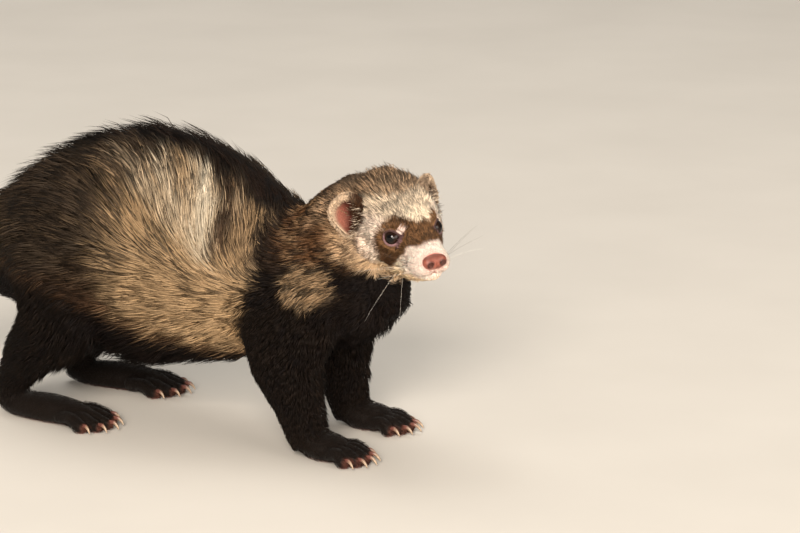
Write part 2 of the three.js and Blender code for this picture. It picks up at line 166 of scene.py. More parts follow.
def soft_min(a: Array, b: Array, blend: float) -> Array:
    """The lesser of two reaches, rounded over a blend in millimetres."""
    near = np.maximum(blend - np.abs(a - b), 0) / blend
    return np.minimum(a, b) - near * near * blend / 4


def soft_max(a: Array, b: Array, blend: float) -> Array:
    """The greater of two reaches, rounded over a blend in millimetres."""
    return -soft_min(-a, -b, blend)


def noise(points: Array, cell: float, seed: int) -> Array:
    """Smooth, repeatable noise over space.

    Args:
        points: Places in millimetres, n by 3.
        cell: The size of its lumps in millimetres.
        seed: Which noise it is.

    Returns:
        A value from -1 to 1 for each point.
    """
    scaled = points / cell
    corner = np.floor(scaled).astype(np.int64)
    part = scaled - corner
    part = part * part * (3 - 2 * part)
    total = np.zeros(len(points))
    for number in range(8):
        step = np.array([number & 1, number >> 1 & 1, number >> 2 & 1])
        mixed = (corner + step) @ np.array([73856093, 19349663, 83492791]) + seed * 265443577
        mixed = (mixed ^ (mixed >> 13)) * 1274126177
        mixed = mixed ^ (mixed >> 16)
        weight = np.prod(np.where(step == 1, part, 1 - part), axis=1)
        total += weight * ((mixed & 0xFFFF) / 32767.5 - 1)
    return total


def turned(degrees: tuple[float, float, float]) -> Array:
    """The matrix that turns about y, then x, then z.

    Args:
        degrees: The turns about x, y and z.

    Returns:
        The matrix, for points as columns.
    """
    (cx, sx), (cy, sy), (cz, sz) = ((math.cos(math.radians(a)), math.sin(math.radians(a))) for a in degrees)
    about_x = np.array([[1, 0, 0], [0, cx, -sx], [0, sx, cx]])
    about_y = np.array([[cy, 0, sy], [0, 1, 0], [-sy, 0, cy]])
    about_z = np.array([[cz, -sz, 0], [sz, cz, 0], [0, 0, 1]])
    return about_z @ about_x @ about_y


@dataclass(frozen=True)
class HeadHold:
    """How the head is held: the tip of the nose, and its turn from looking straight ahead, in degrees."""

    nose_tip: Point = (-27.0, -66.0, 100.5)
    to_the_right: float = 37.0
    nose_down: float = 10.5
    left_side_up: float = 7.0

    @property
    def matrix(self) -> Array:
        """The turn of the head's own frame."""
        return turned((self.nose_down, -self.left_side_up, -self.to_the_right))

    def out(self, points: Array) -> Array:
        """Points of the head's frame, in the body's."""
        return points @ self.matrix.T + self.nose_tip

    def into(self, points: Array) -> Array:
        """Points of the body's frame, in the head's."""
        return (points - self.nose_tip) @ self.matrix

    def folded(self, points: Array) -> Array:
        """Points of the body's frame, in the head's, with its right side laid over its left."""
        q = self.into(points)
        return np.hstack([np.abs(q[:, :1]), q[:, 1:]])


HOLD = HeadHold()


def centripetal(points: Array, t: Array) -> tuple[Array, Array]:
    """A centripetal Catmull-Rom curve through points, and its direction.

    Args:
        points: What the curve passes through.
        t: Places along it, from 0 at the first point to 1 at the last.

    Returns:
        The points at t and the unit vectors ahead.
    """
    last = len(points) - 1
    padded = np.vstack([2 * points[0] - points[1], points, 2 * points[-1] - points[-2]])
    i = np.minimum((t * last).astype(int), last - 1)
    w = (t * last - i)[:, None]
    p0, p1, p2, p3 = (padded[i + k] for k in range(4))
    steps = ((p0, p1), (p1, p2), (p2, p3))
    d0, d1, d2 = (np.linalg.norm(b - a, axis=1, keepdims=True) ** 0.5 for a, b in steps)
    start = ((p1 - p0) / d0 - (p2 - p0) / (d0 + d1) + (p2 - p1) / d1) * d1
    end = ((p2 - p1) / d1 - (p3 - p1) / (d1 + d2) + (p3 - p2) / d2) * d1
    square, cube = -3 * p1 + 3 * p2 - 2 * start - end, 2 * p1 - 2 * p2 + start + end
    return p1 + w * (start + w * (square + w * cube)), unit(start + w * (2 * square + 3 * w * cube))


def along(values: Array, t: Array) -> Array:
    """Numbers between those of the stations, by a Catmull-Rom cubic.

    Args:
        values: The stations' numbers, a row for each.
        t: Places from 0 at the first to 1 at the last.

    Returns:
        A row for each place.
    """
    last = len(values) - 1
    i = np.minimum((t * last).astype(int), last - 1)
    w = (t * last - i)[:, None]
    a, b, c, d = (values[np.clip(i + k, 0, last)] for k in (-1, 0, 1, 2))
    return b + 0.5 * w * (c - a + w * (2 * a - 5 * b + 4 * c - d + w * (3 * (b - c) + d - a)))


def ring_faces(bands: int, sides: int) -> Faces:
    """The faces of a closed surface whose points lie in rings.

    Args:
        bands: How many bands of faces lie along it.
        sides: How many points lie round a ring.

    Returns:
        The faces of the bands, then the two ends.
    """
    faces = [
        (i * sides + k, i * sides + (k + 1) % sides, (i + 1) * sides + (k + 1) % sides, (i + 1) * sides + k)
        for i in range(bands)
        for k in range(sides)
    ]
    return [*faces, tuple(range(sides - 1, -1, -1)), tuple(bands * sides + k for k in range(sides))]


@dataclass
class Reading:
    """Where points lie on a form: how far outside its flesh, how far along and how far round."""

    reach: Array
    t: Array
    turn: Array


# The columns of a form's sections: its centre and three directions, its reach to the sides, up and down, the
# coat's depth, and the distance from section to section
CENTRE, AHEAD, SIDE, UP = slice(0, 3), slice(3, 6), slice(6, 9), slice(9, 12)
WIDE, HIGH, DEEP, COAT, SPACING = range(12, 17)


class Form:
    """A bent body form through stations, as the solids have it."""

    def __init__(
        self,
        rows: tuple[Row, ...],
        front: Point = (0, 0, 1),
        dome: tuple[float, float] = (0, 0),
        hold: HeadHold | None = None,
        samples: int = 61,
        even: bool = False,
    ) -> None:
        """Works out the form's sections.

        Args:
            rows: Its stations.
            front: Which way the upper side of a section faces.
            dome: The shares of the length over which its ends close.
            hold: The head's hold, for a form in the head's frame.
            samples: How many sections are kept.
            even: Whether its coat is as deep below as above.
        """
        t = np.linspace(0, 1, samples)
        centre, ahead = centripetal(np.array([row[0] for row in rows], float), t)
        side = unit(np.cross(ahead, front))
        up = np.cross(side, ahead)
        sizes = along(np.array([row[1:] for row in rows], float), t)
        close = np.ones(samples)
        for share, reach in ((t, dome[0]), (1 - t, dome[1])):
            if reach:
                close *= np.sqrt(1 - (1 - np.minimum(share / reach, 1)) ** 2)
        sizes[:, :3] *= np.maximum(close, 0.02)[:, None]
        spacing = np.maximum(lengths(np.gradient(centre, axis=0)), 1e-6)[:, None]
        self.sections = np.hstack([centre, ahead, side, up, sizes, spacing])
        self.hold, self.even, self.domed = hold, even, any(dome)
        widest = sizes[:, :3].max(axis=1, keepdims=True)
        self.corners = (centre - widest).min(axis=0), (centre + widest).max(axis=0)

    def at(self, t: Array) -> Array:
        """The form's sections at places along it.

        Args:
            t: The places, from 0 to 1.

        Returns:
            A row for each, in the columns named above.
        """
        last = len(self.sections) - 1
        place = np.clip(t, 0, 1) * last
        lower = np.minimum(place.astype(int), last - 1)
        w = (place - lower)[:, None]
        return self.sections[lower] * (1 - w) + self.sections[lower + 1] * w

    def measure(self, points: Array, margin: float = 14.0) -> Reading:
        """Measures points against the form.

        Args:
            points: Places in the body's frame.
            margin: How far outside the form a point is still measured.

        Returns:
            The points' reading; those further off get the reach FAR.
        """
        count = len(points)
        result = Reading(np.full(count, FAR), np.zeros(count), np.zeros(count))
        held = points if self.hold is None else self.hold.into(points)
        near = np.all((held > self.corners[0] - margin) & (held < self.corners[1] + margin), axis=1)
        if not near.any():
            return result
        q = held[near]
        centre = self.sections[:, CENTRE]
        away = (centre**2).sum(axis=1) - 2 * q @ centre.T
        nearest = np.argmin(away, axis=1)
        found = self.sections[nearest]
        step = dot(q - found[:, CENTRE], found[:, AHEAD])[:, 0] / found[:, SPACING]
        t = np.clip((nearest + step) / (len(centre) - 1), 0, 1)
        s = self.at(t)
        x, y, beyond = (dot(q - s[:, CENTRE], s[:, way])[:, 0] for way in (SIDE, UP, AHEAD))
        wide, high = s[:, WIDE], np.where(y > 0, s[:, HIGH], s[:, DEEP])
        ratio = np.hypot(x / wide, y / high)
        steep = np.maximum(np.hypot(x / wide**2, y / high**2), 1e-6)
        reach = np.where(ratio < 1e-3, -np.minimum(wide, high), ratio * (ratio - 1) / steep)
        ended = (t <= 0) | (t >= 1)
        reach = np.where(ended, np.hypot(np.maximum(reach, 0), beyond), reach)
        result.reach[near], result.t[near], result.turn[near] = reach, t, np.arctan2(y / high, x / wide)
        return result

    def vectors(self, reading: Reading) -> tuple[Array, Array]:
        """The directions ahead and up at a reading.

        Args:
            reading: Where points lie on the form.

        Returns:
            Unit vectors in the body's frame.
        """
        s = self.at(reading.t)
        turn = np.eye(3) if self.hold is None else self.hold.matrix.T
        return unit(s[:, AHEAD] @ turn), unit(s[:, UP] @ turn)

    def coat(self, reading: Reading) -> Array:
        """The coat's depth over the flesh.

        Args:
            reading: Where points lie on the form.

        Returns:
            The depths in millimetres.
        """
        upper = np.where(np.sin(reading.turn) > 0, BACK_COAT, BELLY_COAT)
        share = np.hypot(SIDE_COAT * np.cos(reading.turn), upper * np.sin(reading.turn))
        return self.at(reading.t)[:, COAT] * (1 if self.even else share)

    def shell(self, rings: int = 28, sides: int = 24) -> tuple[Array, Faces]:
        """The closed surface of the flesh, in the body's frame.

        Args:
            rings: How many steps lie along it.
            sides: How many points lie round a ring.

        Returns:
            Points in millimetres, and faces.
        """
        even = np.linspace(0, 1, rings + 1)
        s = self.at((1 - np.cos(np.pi * even)) / 2 if self.domed else even)[:, None, :]
        turn = np.linspace(0, 2 * np.pi, sides, endpoint=False)[None, :, None]
        high = np.where(np.sin(turn) > 0, s[..., HIGH, None], s[..., DEEP, None])
        aside = s[..., SIDE] * s[..., WIDE, None] * np.cos(turn)
        points = s[..., CENTRE] + aside + s[..., UP] * high * np.sin(turn)
        points = points.reshape(-1, 3)
        return (points if self.hold is None else self.hold.out(points)), ring_faces(rings, sides)


@dataclass(frozen=True)
class Ball:
    """An ellipsoid of flesh, turned by degrees about x, y and z."""

    at: Point
    radii: Point
    turn: Point = (0, 0, 0)
    hold: HeadHold | None = None

    def reach(self, points: Array) -> Array:
        """How far points lie outside the ball.

        Args:
            points: Places in the body's frame.

        Returns:
            Distances in millimetres, less than 0 inside.
        """
        held = points if self.hold is None else self.hold.into(points)
        q = (held - self.at) @ turned(self.turn)
        radii = np.array(self.radii)
        ratio = lengths(q / radii)
        steep = np.maximum(lengths(q / radii**2), 1e-6)
        return ratio * (ratio - 1) / steep

    def shell(self, rings: int = 12, sides: int = 20) -> tuple[Array, Faces]:
        """The ball's closed surface, in the body's frame.

        Args:
            rings: How many bands of faces lie along it.
            sides: How many points lie round a ring.

        Returns:
            Points in millimetres, and faces.
        """
        tilt = np.clip(np.linspace(0, np.pi, rings + 1), 0.02, np.pi - 0.02)[:, None]
        turn = np.linspace(0, 2 * np.pi, sides, endpoint=False)
        out = np.sin(tilt)
        sphere = np.stack([out * np.cos(turn), out * np.sin(turn), np.cos(tilt) + 0 * turn], axis=-1)
        points = (sphere.reshape(-1, 3) * self.radii) @ turned(self.turn).T + self.at
        faces = [face[::-1] for face in ring_faces(rings, sides)]
        return (points if self.hold is None else self.hold.out(points)), faces


def mirrored(rows: tuple[Row, ...], sign: int) -> tuple[Row, ...]:
    """Stations of the left side, or of the right one where sign is -1."""
    return tuple(((sign * x, y, z), *sizes) for (x, y, z), *sizes in rows)


def settle(points: Array, reach: Rule, steps: int = 4, probe: float = 0.05, stride: float = 2.5) -> Array:
    """Moves points onto a surface.

    Args:
        points: Places near the surface.
        reach: The function that gives how far points lie outside it.
        steps: How many times each point is moved.
        probe: How far apart the slope is read.
        stride: The furthest that one move goes.

    Returns:
        The moved points.
    """
    points = points.copy()
    for _ in range(steps):
        here = reach(points)
        slope = np.stack([(reach(points + probe * axis) - here) / probe for axis in np.eye(3)], axis=1)
        steep = np.maximum((slope**2).sum(axis=1, keepdims=True), 0.2)
        move = -here[:, None] * slope / steep
        length = np.maximum(np.linalg.norm(move, axis=1, keepdims=True), 1e-9)
        points += move * np.minimum(1, stride / length)
    return points


@dataclass(frozen=True)
class Toes:
    """A foot seen from above: the palm, how far the toes turn out and reach, and the claws' length."""

    palm: tuple[float, float]
    half: Point
    out: float
    reach: tuple[float, ...]
    claw: float
    radius: float = 3.0
    tip: float = 1.9
    knuckle: float = 5.6
    end: float = 2.9
    turn: float = 8.0
    apart: float = 3.2
    sink: float = 0.8

    def ball(self, sign: int) -> Ball:
        """The palm."""
        place = (sign * self.palm[0], self.palm[1], self.half[2] - self.sink)
        return Ball(place, self.half, (0, 0, sign * self.out))

    def roots(self, sign: int) -> list[tuple[Array, Array, float]]:
        """Where the toes lie on the floor.

        Args:
            sign: 1 on the left and -1 on the right.

        Returns:
            Each toe's start, its direction and its length.
        """
        found = []
        for number, length in enumerate(self.reach):
            place = number - len(self.reach) // 2
            heading = math.radians(self.out + place * self.turn) * sign
            across = sign * (self.palm[0] + place * self.apart)
            start = np.array([across, self.palm[1] - self.half[1] * 0.35, 0])
            found.append((start, np.array([math.sin(heading), -math.cos(heading), 0]), length))
        return found

    def forms(self, sign: int) -> list[Form]:
        """The toes' flesh.

        Args:
            sign: 1 on the left and -1 on the right.

        Returns:
            A form for each toe.
        """
        made = []
        for start, ahead, length in self.roots(sign):
            rows = []
            for share, height, size in (
                (0, self.knuckle - 1, self.radius),
                (0.5, self.knuckle, self.radius),
                (0.86, self.end, self.radius),
                (1, self.end, self.tip),
            ):
                centre = start + ahead * length * share + [0, 0, height]
                rows.append((tuple(centre), size, size, size, 0.4))
            made.append(Form(tuple(rows), dome=(0, 0.16), samples=15))
        return made


FOREPAW = Toes(palm=(26.5, -9), half=(9, 13, 6.4), out=4, reach=(13, 17, 18.5, 17, 12.5), claw=4.4)
HINDPAW = Toes(palm=(32, 142), half=(8.4, 29, 6.6), out=4, reach=(21, 26, 28, 26.5, 21), claw=3.8)


@dataclass(frozen=True)
class Face:
    """The features of the head, in its own frame and on its left side."""

    eye: Point = (10.1, 23.2, 5.8)
    eye_radius: float = 4.1
    gaze: Point = (0.74, -0.64, 0.26)
    opening: tuple[float, float] = (3.85, 3.15)  # half the width and height between the lids
    lid: float = 0.8  # how far the lids stand over the ball
    whisker_pad: Point = (4.3, 7.6, -2.6)
    pad_radii: Point = (5, 6.6, 4.9)
    nose: Point = (0, 2.0, 0.1)
    nose_radii: Point = (5.0, 3, 3.5)
    brow: Point = (7.5, 25.5, 9.2)
    brow_radii: Point = (4.6, 5.2, 3.2)
    mouth: tuple[Point, ...] = (
        (0, 3.2, -5.4), (5.2, 5.4, -6.1), (7.7, 10.5, -6.6), (7.8, 16, -7.4), (9.4, 20, -6.6),
    )
    philtrum: tuple[Point, ...] = ((0, 0, -2.4), (0, 2.2, -5.6))
    lip_groove: float = 0.45

    def gaze_axes(self) -> tuple[Array, Array, Array]:
        """The left eye's gaze, and the directions to its outer corner and up."""
        gaze, outer = unit(np.array(self.gaze)), unit(np.array([-self.gaze[1], self.gaze[0], 0]))
        return gaze, outer, np.cross(gaze, outer)

    def round_eye(self, q: Array) -> tuple[Array, Array]:
        """Measures points against the left eye.

        Args:
            q: Points of the head's frame.

        Returns:
            How far they are from its centre, and by what angle they lie outside the opening of the lids.
        """
        gaze, outer, up = self.gaze_axes()
        offset = q - self.eye
        distance = np.maximum(lengths(offset), 1e-6)
        angle = np.arccos(np.clip(offset @ gaze / distance, -1, 1))
        return distance, angle - self.opening_angle(np.arctan2(offset @ up, offset @ outer))

    def opening_angle(self, turn: Array) -> Array:
        """How far from the gaze the lids part.

        Args:
            turn: Turns about the gaze from the outer corner.

        Returns:
            Angles in radians.
        """
        wide, high = self.opening
        plain = 1 / np.hypot(np.cos(turn) / wide, np.sin(turn) / high)
        inner = 0.7 * np.exp(-(((np.abs(turn) - np.pi) / 0.42) ** 2))
        outer = 0.25 * np.exp(-((turn / 0.35) ** 2))
        return np.arcsin(np.clip((plain + inner + outer) / (self.eye_radius + 0.5), 0, 0.98))

    def lids(self, q: Array) -> Array:
        """The reach of the lids round the left eye, for points of the head's frame."""
        distance, outside = self.round_eye(q)
        return soft_max(distance - (self.eye_radius + self.lid), -self.eye_radius * outside, 0.9)


class Flesh:
    """The whole body's flesh as one smooth surface."""

    def __init__(self, face: Face) -> None:
        """Makes the forms of every part from the stations.

        Args:
            face: The head's features.
        """
        self.face = face
        self.trunk = Form(TRUNK, dome=(0.09, 0.07))
        self.neck = Form(NECK, dome=(0, 0.12))
        self.tail = Form(TAIL)
        self.skull, self.own_skull = (Form(SKULL, dome=(0.05, 0.14), hold=hold) for hold in (HOLD, None))
        self.jaw, self.own_jaw = (Form(JAW, hold=hold, even=True) for hold in (HOLD, None))
        self.pocket = EarShape().pocket()
        self.forelegs, self.hindlegs, self.feet = [], [], []
        elbow = FORELEG[1][0][2]
        for sign in (1, -1):
            back = LEFT_FOREFOOT_BACK if sign > 0 else 0.0
            rows = tuple(
                ((x, y + back * float(ease(elbow - z, 0, elbow)), z), *sizes) for (x, y, z), *sizes in FORELEG
            )
            self.forelegs.append(Form(mirrored(rows, sign), front=(0, -1, 0)))
            self.hindlegs.append(Form(mirrored(HINDLEG, sign), front=(0, -1, 0)))
            self.feet += [Foot(FOREPAW, sign, back), Foot(HINDPAW, sign, 0.0)]

    def head(self, points: Array) -> Array:
        """Measures points against the head's flesh, with its lids, lips and whisker pads.

        Args:
            points: Places in the body's frame.

        Returns:
            How far outside it they lie, or FAR.
        """
        result = np.full(len(points), FAR)
        held = HOLD.into(points)
        near = np.all((held > [-40, -14, -40]) & (held < [40, 84, 40]), axis=1)
        q = held[near].copy()
        q[:, 0] = np.abs(q[:, 0])
        face = self.face
        reach = soft_min(self.own_skull.measure(q).reach, self.own_jaw.measure(q).reach, 2.2)
        reach = soft_min(reach, Ball(face.whisker_pad, face.pad_radii).reach(q), 2.0)
        reach = soft_min(reach, Ball(face.brow, face.brow_radii).reach(q), 2.5)
        reach = soft_min(reach, face.lids(q), 0.9)
        reach = soft_max(reach, -self.pocket.reach(q), 0.8)
        for path in (face.mouth, face.philtrum):
            reach = soft_max(reach, face.lip_groove - distance_to_path(q, np.array(path)), 0.5)
        result[near] = reach
        return result

    def reach(self, points: Array) -> Array:
        """Measures points against the body's flesh.

        Args:
            points: Places in the body's frame.

        Returns:
            How far outside it they lie, in millimetres.
        """
        reach = soft_min(self.trunk.measure(points).reach, self.neck.measure(points).reach, 8)
        for form, blend in [(self.tail, 6), *((leg, 9) for leg in (*self.forelegs, *self.hindlegs))]:
            reach = soft_min(reach, form.measure(points).reach, blend)
        for foot in self.feet:
            reach = soft_min(reach, foot.reach(points), 3.5)
        return soft_min(reach, self.head(points), 6)

    def shells(self) -> list[tuple[Array, Faces]]:
        """Closed surfaces that together fill the flesh.

        Returns:
            Points in millimetres and faces, for each surface.
        """
        made = [self.trunk.shell(40, 36), self.neck.shell(24, 32), self.tail.shell(40, 16)]
        made += [self.skull.shell(36, 36), self.jaw.shell(18, 20)]
        made += [leg.shell(24, 24) for leg in (*self.forelegs, *self.hindlegs)]
        for sign in (1, -1):
            x, y, z = self.face.whisker_pad
            made.append(Ball((sign * x, y, z), self.face.pad_radii, hold=HOLD).shell())
        for foot in self.feet:
            made += [foot.palm.shell(), *(toe.shell(12, 12) for toe in foot.toes)]
        return made


class Foot:
    """One foot's flesh: the palm and its toes."""

    def __init__(self, toes: Toes, sign: int, back: float) -> None:
        """Sets the foot in place."""
        self.sizes, self.sign = replace(toes, palm=(toes.palm[0], toes.palm[1] + back)), sign
        self.palm, self.toes = self.sizes.ball(sign), self.sizes.forms(sign)

    def reach(self, points: Array) -> Array:
        """Measures points against the foot.

        Args:
            points: Places in the body's frame.

        Returns:
            How far outside it they lie, or FAR.
        """
        result = np.full(len(points), FAR)
        near = np.all(np.abs(points - self.palm.at) < [30, 62, 24], axis=1)
        if near.any():
            q = points[near]
            reach = self.palm.reach(q)
            for toe in self.toes:
                reach = soft_min(reach, toe.measure(q, 6).reach, 0.7)
            result[near] = reach
        return result


def distance_to_path(points: Array, path: Array) -> Array:
    """How far points lie from a path of straight lengths.

    Args:
        points: The places.
        path: The path's corners.

    Returns:
        The distances.
    """
    best = np.full(len(points), FAR)
    for start, end in zip(path[:-1], path[1:]):
        step = end - start
        share = np.clip((points - start) @ step / (step @ step), 0, 1)
        best = np.minimum(best, lengths(points - start - share[:, None] * step))
    return best


def linear(colour: str) -> Array:
    """A colour such as #8a6f52 as the renderer's own numbers."""
    shades = np.array([int(colour[i : i + 2], 16) / 255 for i in (1, 3, 5)])
    return np.where(shades <= 0.04045, shades / 12.92, ((shades + 0.055) / 1.055) ** 2.4)


class Region(IntEnum):
    """The parts of the coat, as columns of a share table."""

    TRUNK = 0
    NECK = 1
    TAIL = 2
    HEAD = 3
    FORELEG = 4
    HINDLEG = 5
    FOOT = 6
    EAR = 7


@dataclass(frozen=True)
class Palette:
    """The colours of hair and bare skin."""

    sable: str = "#150c06"
    sable_tip: str = "#0e0804"
    brown: str = "#62442c"
    brown_tip: str = "#2c1d15"
    pale_tip: str = "#a88662"
    crown: str = "#c8a784"
    crown_top: str = "#ae9072"
    cream: str = "#a28b6e"
    bright: str = "#d8cbb4"
    buff: str = "#a3845e"
    ash: str = "#4b3f32"
    ash_tip: str = "#1f1610"
    white: str = "#ffe7da"
    warm_white: str = "#f7e3c9"
    # Rosy white of the cheek band, brightened as painted light
    honey: str = "#f8d8b0"
    rosy_and_painted_light: str = "#ffe8d6"
    tan: str = "#b0875c"
    mask: str = "#886443"
    mask_tip: str = "#5e3d28"
    pink: str = "#c98478"
    ear_pink: str = "#8c5445"
    # Dark red-brown skin deep in the ears, laid also as painted shade in their hollows
    dark_ear_skin_and_shade: str = "#43190f"
    ear_edge: str = "#432c1c"
    ear_rim: str = "#cbb196"
    lid: str = "#7f6062"
    lid_dark: str = "#35221f"
    lip: str = "#b9796b"
    spot: str = "#efd6ca"
    toe: str = "#6a4034"
    pad: str = "#7d4f45"


@dataclass
class Paint:
    """The hair at each place: its colour at root and tip, and the share of dark guard hairs."""

    root: Array
    tip: Array
    guard: Array

    def lay(self, mask: Array, guard: float, root: str, tip: str = "") -> None:
        """Lays another coat over this one.

        Args:
            mask: Where, from 0 to 1.
            guard: The share of dark guard hairs.
            root: The hair's colour near the skin.
            tip: Its colour at the tip, if it is another.
        """
        share = np.clip(mask, 0, 1)[:, None]
        self.root = self.root * (1 - share) + linear(root) * share
        self.tip = self.tip * (1 - share) + linear(tip or root) * share
        self.guard = self.guard * (1 - share[:, 0]) + guard * share[:, 0]


class Markings:
    """The sable markings, with some painted shade and painted light, the same for skin and coat."""

    # The mask's front and rear edges in the head's frame, by the turn up from the side, in degrees
    MASK_TURN = (-60, -44, -33, -20, -10, 0, 9, 23, 37, 45, 56, 66, 76, 90)
    MASK_REAR = (20, 25.6, 27.1, 27.7, 28.0, 28.3, 28.5, 29.2, 28.6, 27.4, 25.8, 24.2, 21.4, 19.6)
    MASK_FRONT = (24, 25.0, 22.0, 17.8, 16.0, 14.2, 13.2, 12.0, 11.2, 9.4, 8.9, 8.8, 8.8, 8.8)
    CROWN_TURN = (0, 20, 35, 50, 75, 90)
    CROWN_FRONT = (60, 54, 48, 42, 35.5, 35)
    # The lower edge of the pale face, by the distance from the middle
    FACE_SIDE = (0, 4.4, 9.6, 17, 27.3, 31.7, 34.2)
    FACE_FLOOR = (-24.5, -23.5, -19.5, -15.5, -10.5, -4.5, -0.5)

    def __init__(self, flesh: Flesh) -> None:
        """Keeps the body's forms, by which the markings are placed."""
        self.flesh = flesh
        self.colours = Palette()

    def paint(self, points: Array, share: Array) -> Paint:
        """The coat at places on the skin.

        Args:
            points: The places, in millimetres.
            share: How much of each is in each region.

        Returns:
            The hair's colours there.
        """
        n = len(points)
        root, tip = (np.tile(linear(colour), (n, 1)) for colour in (self.colours.cream, self.colours.buff))
        paint = Paint(root, tip, np.full(n, 0.42))
        self._trunk(paint, points)
        self._neck(paint, points)
        self._limbs(paint, points, share)
        self._head(paint, points, share)
        return paint

    def _trunk(self, paint: Paint, points: Array) -> None:
        """Lays the flank, the back, the rump and the belly, with painted shade on the upper flank, the rump and
        the underside.

        Args:
            paint: What is laid so far.
            points: The places.
        """
        c = self.colours
        read = self.flesh.trunk.measure(points, 60)
        t = read.t + 0.012 * noise(points, 9, 3)
        side = np.degrees(np.arccos(np.clip(np.sin(read.turn), -1, 1))) + 5 * noise(points, 7, 4)
        paint.lay(ease(side, 80, 120), 0.3, c.buff, c.cream)
        crest = 0.395 - 0.0011 * (side - 24)
        for place, width, strength, end in (
            (0.0, 0.026, 0.9, 96),
            (0.085, 0.02, 0.55, 80),
            (0.15, 0.022, 0.4, 80),
            (-0.07, 0.014, 0.2, 80),
        ):
            gap = place * (1 - np.clip(side - 24, 0, 60) / 75)
            band = np.exp(-(((t - crest - gap) / width) ** 2)) * ease(side, 12, 26)
            paint.lay(band * ease(side, end, end - 34) * strength, 0.05, c.bright)
        streak = np.exp(-(((t - crest + 0.045) / 0.014) ** 2)) * ease(side, 75, 55)
        paint.lay(streak * 0.8, 0.8, c.brown, c.brown_tip)
        # Painted shade: brown laid over the upper flank, strongest towards the rump and weaker towards the
        # shoulder.
        shade = ease(side, 95, 60) * np.maximum(ease(t, 0.4, 0.56), 0.6 * ease(t, 0.34, 0.3))
        paint.lay(shade * 0.4, 0.55, c.brown, c.brown_tip)
        # The rump turns ash grey: partly its own greyer fur, partly painted shade.
        rump = ease(t, 0.46, 0.63)
        paint.lay(rump * 0.88, 0.8, c.ash, c.ash_tip)
        patch = np.exp(-(((t - 0.62) / 0.045) ** 2) - ((side - 120) / 20) ** 2)
        paint.lay(patch, 0.9, c.brown, c.brown_tip)
        ridge = ease(side - 16 * ease(points[:, 0], 0, 9), 26, 13)
        paint.lay(ridge, 1.0, c.ash, c.sable_tip)
        paint.lay(ease(side, 14, 4), 1.0, c.brown_tip, c.sable_tip)
        # The underside turns brown, then near black: partly its own dark belly fur, partly painted shade under
        # the belly.
        line = 157 - 105 * np.maximum(t - 0.28, 0)
        paint.lay(ease(side - line, -17, -3) * 0.7, 0.6, c.brown, c.brown_tip)
        paint.lay(ease(side - line, -6, 5), 0.6, c.sable, c.sable_tip)
        y, z = points[:, 1] + 2.5 * noise(points, 5, 5), points[:, 2]
        front = np.interp(z, (50, 73, 86, 97, 111, 122), (31, 31, 27.5, 26.5, 29, 33))
        paint.lay(ease(y - front, 4, -4), 0.7, c.sable, c.sable_tip)

    def _neck(self, paint: Paint, points: Array) -> None:
        """Lays the neck's brown with pale ticking, and the buff patch low on each side of it.

        Args:
            paint: What is laid so far.
            points: The places.
        """
        c = self.colours
        x, y, z = np.abs(points[:, 0]), points[:, 1], points[:, 2] + 3 * noise(points, 8, 6)
        upper = ease(z, 86, 97) * ease(y, 26, 12)
        paint.lay(upper, 0.5, c.brown)
        paint.lay(upper * ease(noise(points, 5, 7), -0.1, 0.6) * 0.8, 0.2, c.ash, c.pale_tip)
        ragged = 0.7 * noise(points, 6, 8) + 0.3 * noise(points, 3, 9)
        patch = ((y - 1.5) / 10) ** 2 + ((z - 80.5) / 9.8) ** 2 + np.maximum(16 - x, 0) + ragged
        paint.lay(ease(patch, 1.5, 0.4) * np.where(points[:, 0] < 0, 0.9, 0.6), 0.4, c.cream, c.pale_tip)

    def _limbs(self, paint: Paint, points: Array, share: Array) -> None:
        """Lays the dark legs, feet and tail.

        Args:
            paint: What is laid so far.
            points: The places.
            share: How much of each is in each region.
        """
        c = self.colours
        z, foot = points[:, 2], share[:, Region.FOOT]
        legs = np.clip(share[:, Region.FORELEG] * ease(z, 72, 62) + foot, 0, 1)
        legs = np.maximum(legs, share[:, Region.HINDLEG] * ease(z, 78, 58))
        paint.lay(legs, 0.6, c.sable, c.sable_tip)
        paint.lay(share[:, Region.TAIL] * ease(points[:, 1], 172, 200), 0.8, c.sable, c.sable_tip)
        paint.lay(foot * ease(self.toe_tips(points), 3.8, 1.8) * 0.6, 0.1, c.toe)
        paint.lay(foot * ease(z, 1.6, 0.4), 0.0, c.pad)

    def toe_tips(self, points: Array) -> Array:
        """How far points are from the nearest toe's tip.

        Args:
            points: The places.

        Returns:
            The distances.
        """
        best = np.full(len(points), FAR)
        for foot in self.flesh.feet:
            for start, ahead, length in foot.sizes.roots(foot.sign):
                tip = start + ahead * (length + 1) + [0, 0, 3.2]
                best = np.minimum(best, lengths(points - tip))
        return best

